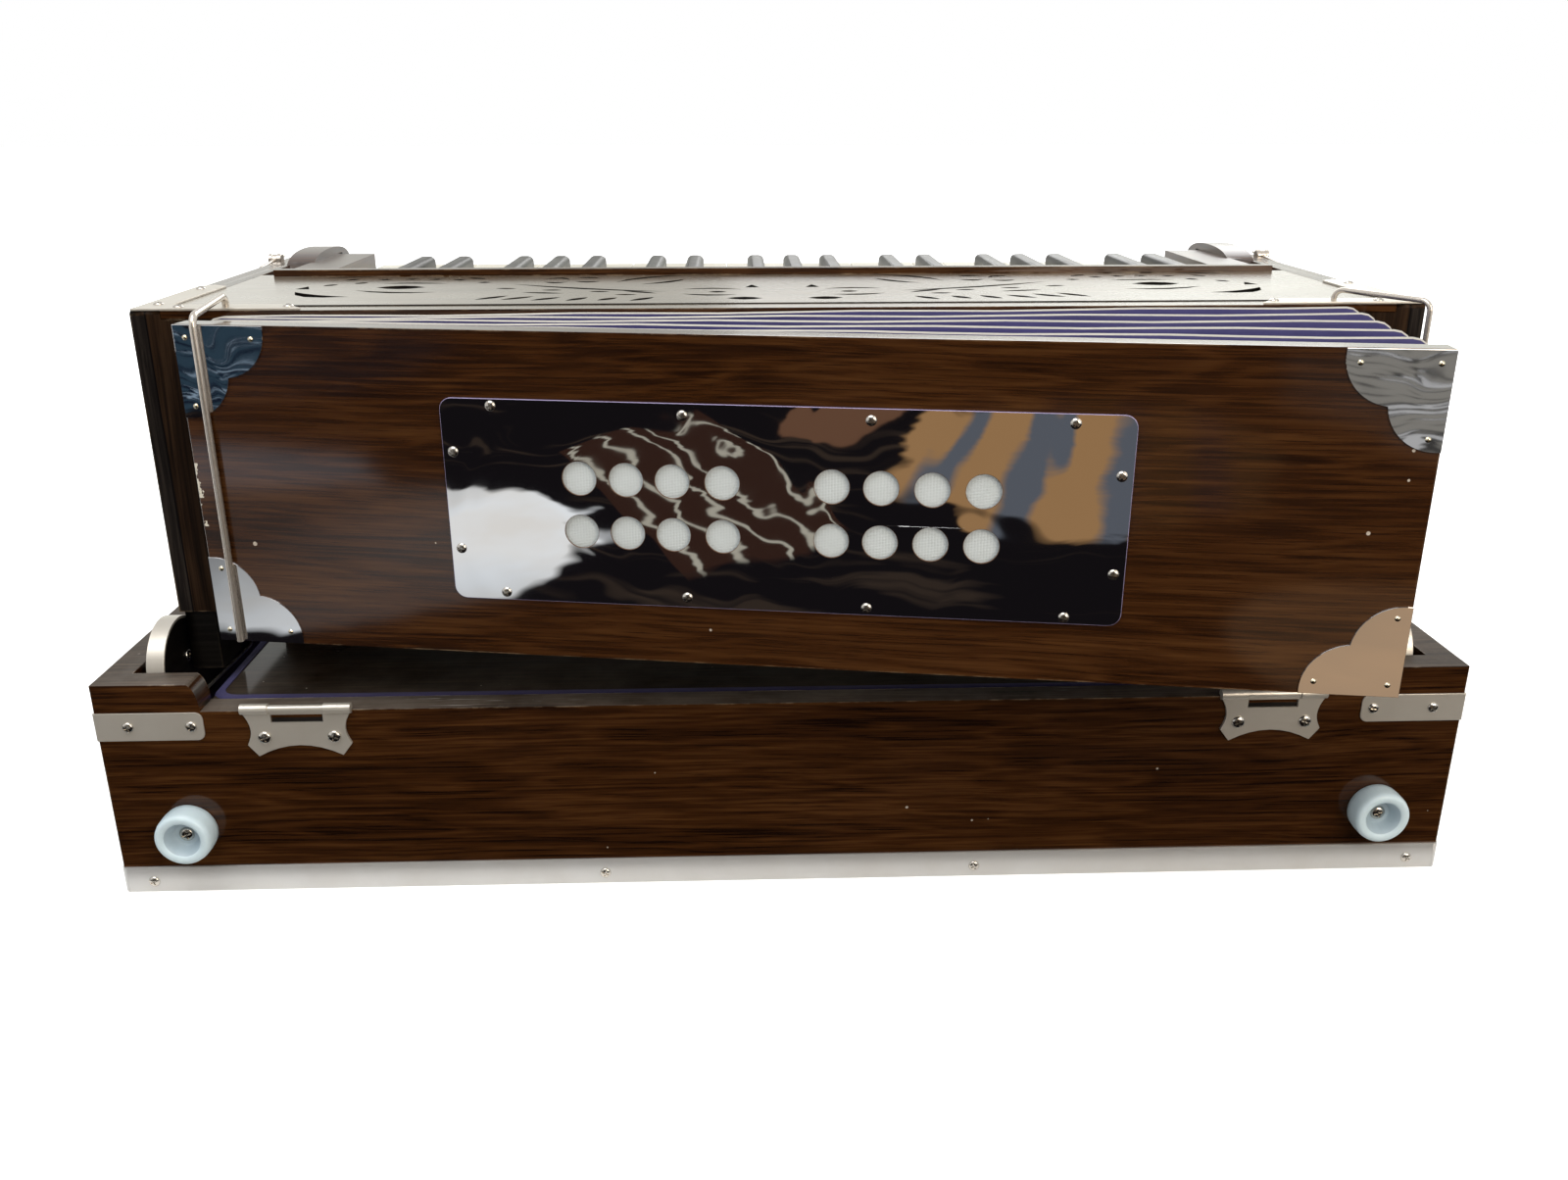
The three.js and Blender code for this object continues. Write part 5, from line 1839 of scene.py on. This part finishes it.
    @staticmethod
    def ease_inverse(share: float) -> float:
        """The place on a smooth step where it reaches a share, found by halving.

        Args:
            share: how much of the step is done, from 0 to 1.

        Returns:
            The place, from 0 to 1.
        """
        low, high = 0.0, 1.0
        for _ in range(40):
            middle = (low + high) / 2
            below = middle * middle * (3 - 2 * middle) < share
            low, high = (middle, high) if below else (low, middle)
        return (low + high) / 2


# Rods and levers


@dataclass
class LatchRods:
    """The two bent rods that hold the board shut."""

    pivot_x: float = 283.5
    pivot_y: float = -135.0
    reach: float = 51.2
    arm: float = 314.1
    bend: float = 5.0
    post: Sequence[float] = (295.1, 300.0)
    leg: Sequence[float] = (230.0, 147.4, 147.0)

    def build(self) -> None:
        """Make both rods."""
        self.rod("left", -1, 3.0, Body.LATCH_LEFT, 3.4, 1.75)
        self.rod("right", 1, 36.0, Body.LATCH_RIGHT, 0.9, 1.4)

    def rod(self, name: str, side: int, turn: float, body: Body, drop: float, radius: float) -> None:
        """One rod: a post, a bend, an arm, a bend and a leg.

        Args:
            name: which rod it is.
            side: -1 for the left, 1 for the right.
            turn: how far its arm is turned from straight back, in degrees.
            body: the body it rides on.
            drop: how far its arm falls towards the leg.
            radius: the radius of its wire.
        """
        height = self.arm - self.bend
        arm = arc((-self.bend, height), self.bend, 0, 90, 8)
        arm += arc((self.bend - self.reach, height), self.bend, 90, 180, 8)
        line = [(0.0, 0.0, z) for z in self.post]
        line += [(0.0, y, z + drop * y / self.reach) for y, z in arm]
        line += [(0.0, -self.reach, z) for z in self.leg]
        rod = Bench.wire(f"latch_rod_{name}_steel", line, radius, 6)
        Bench.settle(rod, shift(side * self.pivot_x, self.pivot_y, 0) @ spin(turn))
        dress(rod, Finish.ROD_STEEL, body, "satin_steel", f"latch_rod_{name}")


@dataclass
class LiftLevers:
    """Steel-banded levers that raise the body."""

    pivot_y: float = -142.0
    pivot_z: float = 117.0
    inner: float = 330.9
    outer: float = 340.3
    wall: float = 346.2
    head: float = 26.0
    tip: float = 10.0
    arm: float = 95.0
    lie: float = -12.0
    band: float = 1.5
    core_inset: float = 1.2
    pin: float = 4.0

    def build(self) -> None:
        """Make both levers."""
        self.lever("left", -1, Body.LEVER_LEFT)
        self.lever("right", 1, Body.LEVER_RIGHT)

    def outline(self, inset: float) -> list[Point]:
        """The lever's outline in Y and Z about its pivot, drawn in by an inset."""
        taper, lie = math.degrees(math.acos((self.head - self.tip) / self.arm)), self.lie
        end = (self.arm * math.cos(math.radians(lie)), self.arm * math.sin(math.radians(lie)))
        head = arc((0, 0), self.head - inset, lie + taper, lie - taper + 360, 40)
        return head + arc(end, self.tip - inset, lie - taper, lie + taper, 16)

    def lever(self, name: str, side: int, body: Body) -> None:
        """One lever: a polished band round a black board, on a pin.

        Args:
            name: which lever it is.
            side: -1 for the left, 1 for the right.
            body: the body it rides on.
        """
        wide, y, z = self.outer - self.inner, self.pivot_y, self.pivot_z
        band = Bench.sheet_metal("band", [self.outline(0), self.outline(self.band)], wide, 0.25)
        core = Bench.sheet_metal("core", [self.outline(self.band - 0.3)], wide - 2 * self.core_inset, 0.3)
        Bench.settle(core, shift(0, 0, self.core_inset))
        spot = place((self.inner if side > 0 else -self.outer, y, z), "+X")
        for piece in (band, core):
            Bench.settle(piece, spot)
        profile = [(self.pin, 0.0), (self.pin, self.wall - self.outer + 1.2)]
        pin = Bench.turned("pin", profile, 20, place((side * (self.outer - 1.5), y, z), way(side, "X")))
        node = f"lift_lever_{name}"
        dress(Bench.join(f"{node}_band", [band, pin]), Finish.SATIN_STEEL, body, "satin_steel", node)
        dress(Bench.name(core, f"{node}_core"), Finish.BLACK_BOARD, body, "lacquered_wood", node)
        head = place((side * (self.inner + 1.0), y + 8, z + 1), way(-side, "X"))
        FASTENERS.drive(f"{node}_screw", [head], body, 1.1)


# The studio


@dataclass
class Studio:
    """The floor, the lamps, the backdrop and the camera."""

    spot: Point = (-24.96, -819.03, 401.86)
    yaw: float = -1.9445
    pitch: float = -20.036
    roll: float = 0.050
    lens: float = 30.29
    sensor: float = 36.0
    nearest: float = 0.01
    furthest: float = 60.0

    def build(self) -> None:
        """Set up everything round the instrument."""
        self.camera()
        self.floor()
        self.world()
        self.lamp("top_lamp", (-500, -900, 1900), (0, 0, 150), 1500, 26.0)
        self.lamp("front_lamp", (1000, -1600, 900), (0, -100, 150), 1000, 16.0, (1.0, 0.86, 0.7))
        self.lamp("back_lamp", (450, 1500, 1200), (0, 0, 150), 1200, 13.0)
        # Glowing cards that only polished surfaces see: painted reflections of a room, which light nothing.
        self.card("pale_wall", (0, 3.2, 0.75), (7.0, 1.5), 90.0, self.back_glow)
        self.card("dark_card", (0, -1.75, 0.002), (4.4, 3.1), 0.0, self.floor_glow)
        self.card("dark_wall", (0, -3.3, 1.1), (4.4, 2.2), 90.0, self.wall_glow)
        bpy.context.scene.view_settings.view_transform = "Standard"

    def camera(self) -> None:
        """The camera at the photograph's viewpoint."""
        data = bpy.data.cameras.new("camera")
        data.lens, data.sensor_width = self.lens, self.sensor
        data.clip_start, data.clip_end = self.nearest, self.furthest
        camera = Bench.lay_out("camera", data)
        turn = spin(self.yaw) @ spin(self.pitch, "X") @ spin(self.roll, "Y") @ spin(90, "X")
        camera.matrix_world = shift(*self.spot) @ turn
        bpy.context.scene.camera = camera

    @staticmethod
    def seen(sheet: Sheet) -> tuple[Flow, Flow]:
        """1 for the rays that show a background, and 1 for those of gloss alone."""
        rays = sheet.add("LightPath").outputs
        kinds = ("Is Camera Ray", "Is Glossy Ray", "Is Transmission Ray")
        camera, gloss, glass = (Flow(sheet, rays[kind]) for kind in kinds)
        return sheet.math("MAXIMUM", sheet.math("MAXIMUM", camera, gloss), glass), gloss

    def floor(self) -> None:
        """A plain pale floor that looks white to the camera and to gloss, and keeps its shadows."""
        Bench.clear()
        bpy.ops.mesh.primitive_plane_add(size=30, location=(0, 0, 0))
        floor = Bench.settle(Bench.name(bpy.context.object, "floor"))
        material, sheet = fresh_material("pale_floor")
        seen, gloss = self.seen(sheet)
        speckle = sheet.noise(sheet.coords(), 60.0, 4.0)
        pale = sheet.fade(speckle, 0.3, 0.7, (0.93, 0.93, 0.93), (0.96, 0.96, 0.955))
        distance = sheet.read("VectorMath", {0: sheet.coords()}, "Value", operation="LENGTH")
        inputs = {
            "Base Color": sheet.mix(seen, (0.45, 0.45, 0.45), pale),
            "Roughness": 0.8,
            "Specular IOR Level": 0.1,
            "Emission Color": (1, 1, 1),
            "Emission Strength": (seen - gloss * 0.6) * sheet.span(distance, 0.4, 1.6, (0.42, 1.2)),
        }
        sheet.feed(sheet.first("BSDF_PRINCIPLED"), inputs)
        floor.data.materials.append(material)

    def world(self) -> None:
        """White all round to the camera and to gloss, a plain soft level to everything else."""
        world = bpy.data.worlds.new("studio")
        world.use_nodes = True
        sheet = Sheet(world.node_tree)
        seen, gloss = self.seen(sheet)
        strength = sheet.span(seen - gloss * 0.3, 0.0, 1.0, (0.5, 1.0))
        sheet.feed(sheet.first("BACKGROUND"), {"Color": (1, 1, 1), "Strength": strength})
        bpy.context.scene.world = world

    @staticmethod
    def lamp(name: str, spot: Point, aim: Point, size: float, power: float, colour: Colour = (1.0, 1.0, 1.0)) -> None:
        """A soft square lamp.

        Args:
            name: the lamp's name.
            spot: where it stands, in millimetres.
            aim: what it points at.
            size: its side in millimetres.
            power: its power in watts.
            colour: the colour of its light.
        """
        data = bpy.data.lights.new(name, "AREA")
        data.size, data.energy, data.color = size * MM, power, colour
        lamp = Bench.lay_out(name, data)
        lamp.location = Vector(spot) * MM
        lamp.rotation_euler = (Vector(aim) - Vector(spot)).to_track_quat("-Z", "Y").to_euler()

    @staticmethod
    def card(name: str, spot: Point, size: Point, tilt: float, glow: Callable[[Sheet], Flow]) -> None:
        """A glowing card, dark or pale, which only polished surfaces see: a painted reflection that lights nothing.

        Args:
            name: the card's name.
            spot: its centre in metres.
            size: its length and height in metres.
            tilt: how far it is raised from lying flat, in degrees.
            glow: what wires its colour.
        """
        Bench.clear()
        bpy.ops.mesh.primitive_plane_add(size=1, location=spot)
        card = Bench.name(bpy.context.object, name)
        card.scale = (*size, 1)
        card.rotation_euler = (math.radians(tilt), 0, 0)
        Bench.settle(card)
        material, sheet = fresh_material(name)
        sheet.tree.nodes.remove(sheet.first("BSDF_PRINCIPLED"))
        shine = sheet.read("Emission", {"Color": glow(sheet), "Strength": 1.0})
        sheet.feed(sheet.first("OUTPUT_MATERIAL"), {"Surface": shine})
        card.data.materials.append(material)
        for ray in ("camera", "diffuse", "transmission", "volume_scatter", "shadow"):
            setattr(card, f"visible_{ray}", False)

    @staticmethod
    def wall_glow(sheet: Sheet) -> Flow:
        """Painted reflection of the dim far side of the room, on a glowing card."""
        cloud = sheet.noise(sheet.scaled(sheet.coords(), (1.6, 1.0, 1.2)), 1.0, 2.0, 0.5)
        return sheet.fade(cloud, 0.4, 0.65, (0.035, 0.032, 0.03), (0.24, 0.22, 0.19))

    @staticmethod
    def back_glow(sheet: Sheet) -> Flow:
        """Painted reflection of the bright far side of the room beyond the keys, dimmer in its middle."""
        across = sheet.axes(sheet.coords())[0]
        left = sheet.fade(across, -1.5, -0.5, (1.12, 1.13, 1.06), (0.6, 0.6, 0.55))
        return sheet.fade(across, 0.3, 1.3, left, (1.15, 1.16, 1.06))

    @staticmethod
    def floor_glow(sheet: Sheet) -> Flow:
        """Painted reflections: soft pale, warm and cool patches on a dark glowing card on the floor, for the mirror
        plates and the lacquer to reflect.
        """
        coords = sheet.coords()
        x, y, _ = sheet.axes(coords)
        wander = sheet.noise(coords, 7.0, 3.0, 0.6)
        stray = sheet.span(wander, 0.2, 0.8, (-0.2, 0.2))
        drift = sheet.noise(sheet.scaled(coords, (2.0, 9.0, 1.0)), 1.0, 3.0, 0.6, 1.2)

        def patch(spot: Point, size: Point, edge: object = stray) -> Flow:
            """A mask that is 1 inside an oval on the card, by default one with a wandering edge."""
            across, along = (x - spot[0]) / size[0], (y - spot[1]) / size[1]
            return sheet.span(sheet.math("SQRT", across * across + along * along) + edge, 1.0, 0.93)

        tone = sheet.fade(drift, 0.55, 0.64, (0.006, 0.005, 0.006), (0.03, 0.021, 0.016))
        bands = sheet.math("SINE", (y + drift) * 19.0)
        cool = sheet.fade(bands, 0.1, 0.6, (0.022, 0.042, 0.062), (0.006, 0.01, 0.02))
        cool = sheet.fade(bands, 0.93, 0.99, cool, (0.2, 0.27, 0.34))
        tone = sheet.mix(patch((-1.5, -1.55), (0.5, 0.5)), tone, cool)
        grey = sheet.fade(bands, -0.3, 0.5, (0.21, 0.2, 0.18), (0.04, 0.038, 0.036))
        grey = sheet.fade(bands, 0.8, 0.9, grey, (0.4, 0.4, 0.4))
        tone = sheet.mix(patch((0.62, -1.8), (0.3, 0.45)), tone, grey)
        stripes = sheet.math("SINE", x * 62.0 + drift)
        warm = sheet.fade(stripes, 0.0, 0.7, (0.3, 0.17, 0.075), (0.09, 0.1, 0.12))
        tone = sheet.mix(patch((0.07, -1.3), (0.24, 0.34)), tone, warm)
        tone = sheet.mix(patch((-0.27, -1.42), (0.09, 0.14)), tone, (0.12, 0.06, 0.035))
        slant = x * 0.8 + y * -0.6
        lines = sheet.math("SINE", slant * 150.0 + wander * 14.0)
        lines = sheet.fade(lines, 0.8, 0.96, (0.03, 0.014, 0.01), (0.36, 0.34, 0.28))
        lively = patch((-0.36, -1.04), (0.26, 0.36))
        tone = sheet.mix((abs(slant - 0.34) < 0.1) * lively, tone, lines)
        tan = sheet.fade(wander, 0.3, 0.7, (0.42, 0.28, 0.17), (0.36, 0.25, 0.16))
        tone = sheet.mix(patch((0.37, -0.72), (0.15, 0.16), 0.0), tone, tan)
        tone = sheet.mix(patch((-0.95, -0.87), (0.33, 0.16)), tone, (0.95, 0.93, 1.0))
        level = sheet.span(x, -0.7, -0.52, (0.3, 0.85)) * sheet.span(y, -0.74, -0.62, (1.0, 0.72))
        pale = sheet.fade(wander, 0.35, 0.7, (0.93, 0.97, 1.0), (0.86, 0.84, 0.8))
        return sheet.mix(patch((-0.63, -0.725), (0.29, 0.225)), tone, sheet.mix(level, (0.0, 0.0, 0.0), pale))


def main() -> None:
    """Build the instrument's sub-assemblies and the studio."""
    logging.basicConfig(level=logging.INFO, format="%(name)s: %(message)s")
    parts = (Studio(), Tray(), Reservoir(), BodyCase(), Keyboard(), HandBellows(), LatchRods(), LiftLevers())
    for part in parts:
        part.build()
        LOG.info("%s is done", type(part).__name__)


if __name__ == "__main__":
    main()
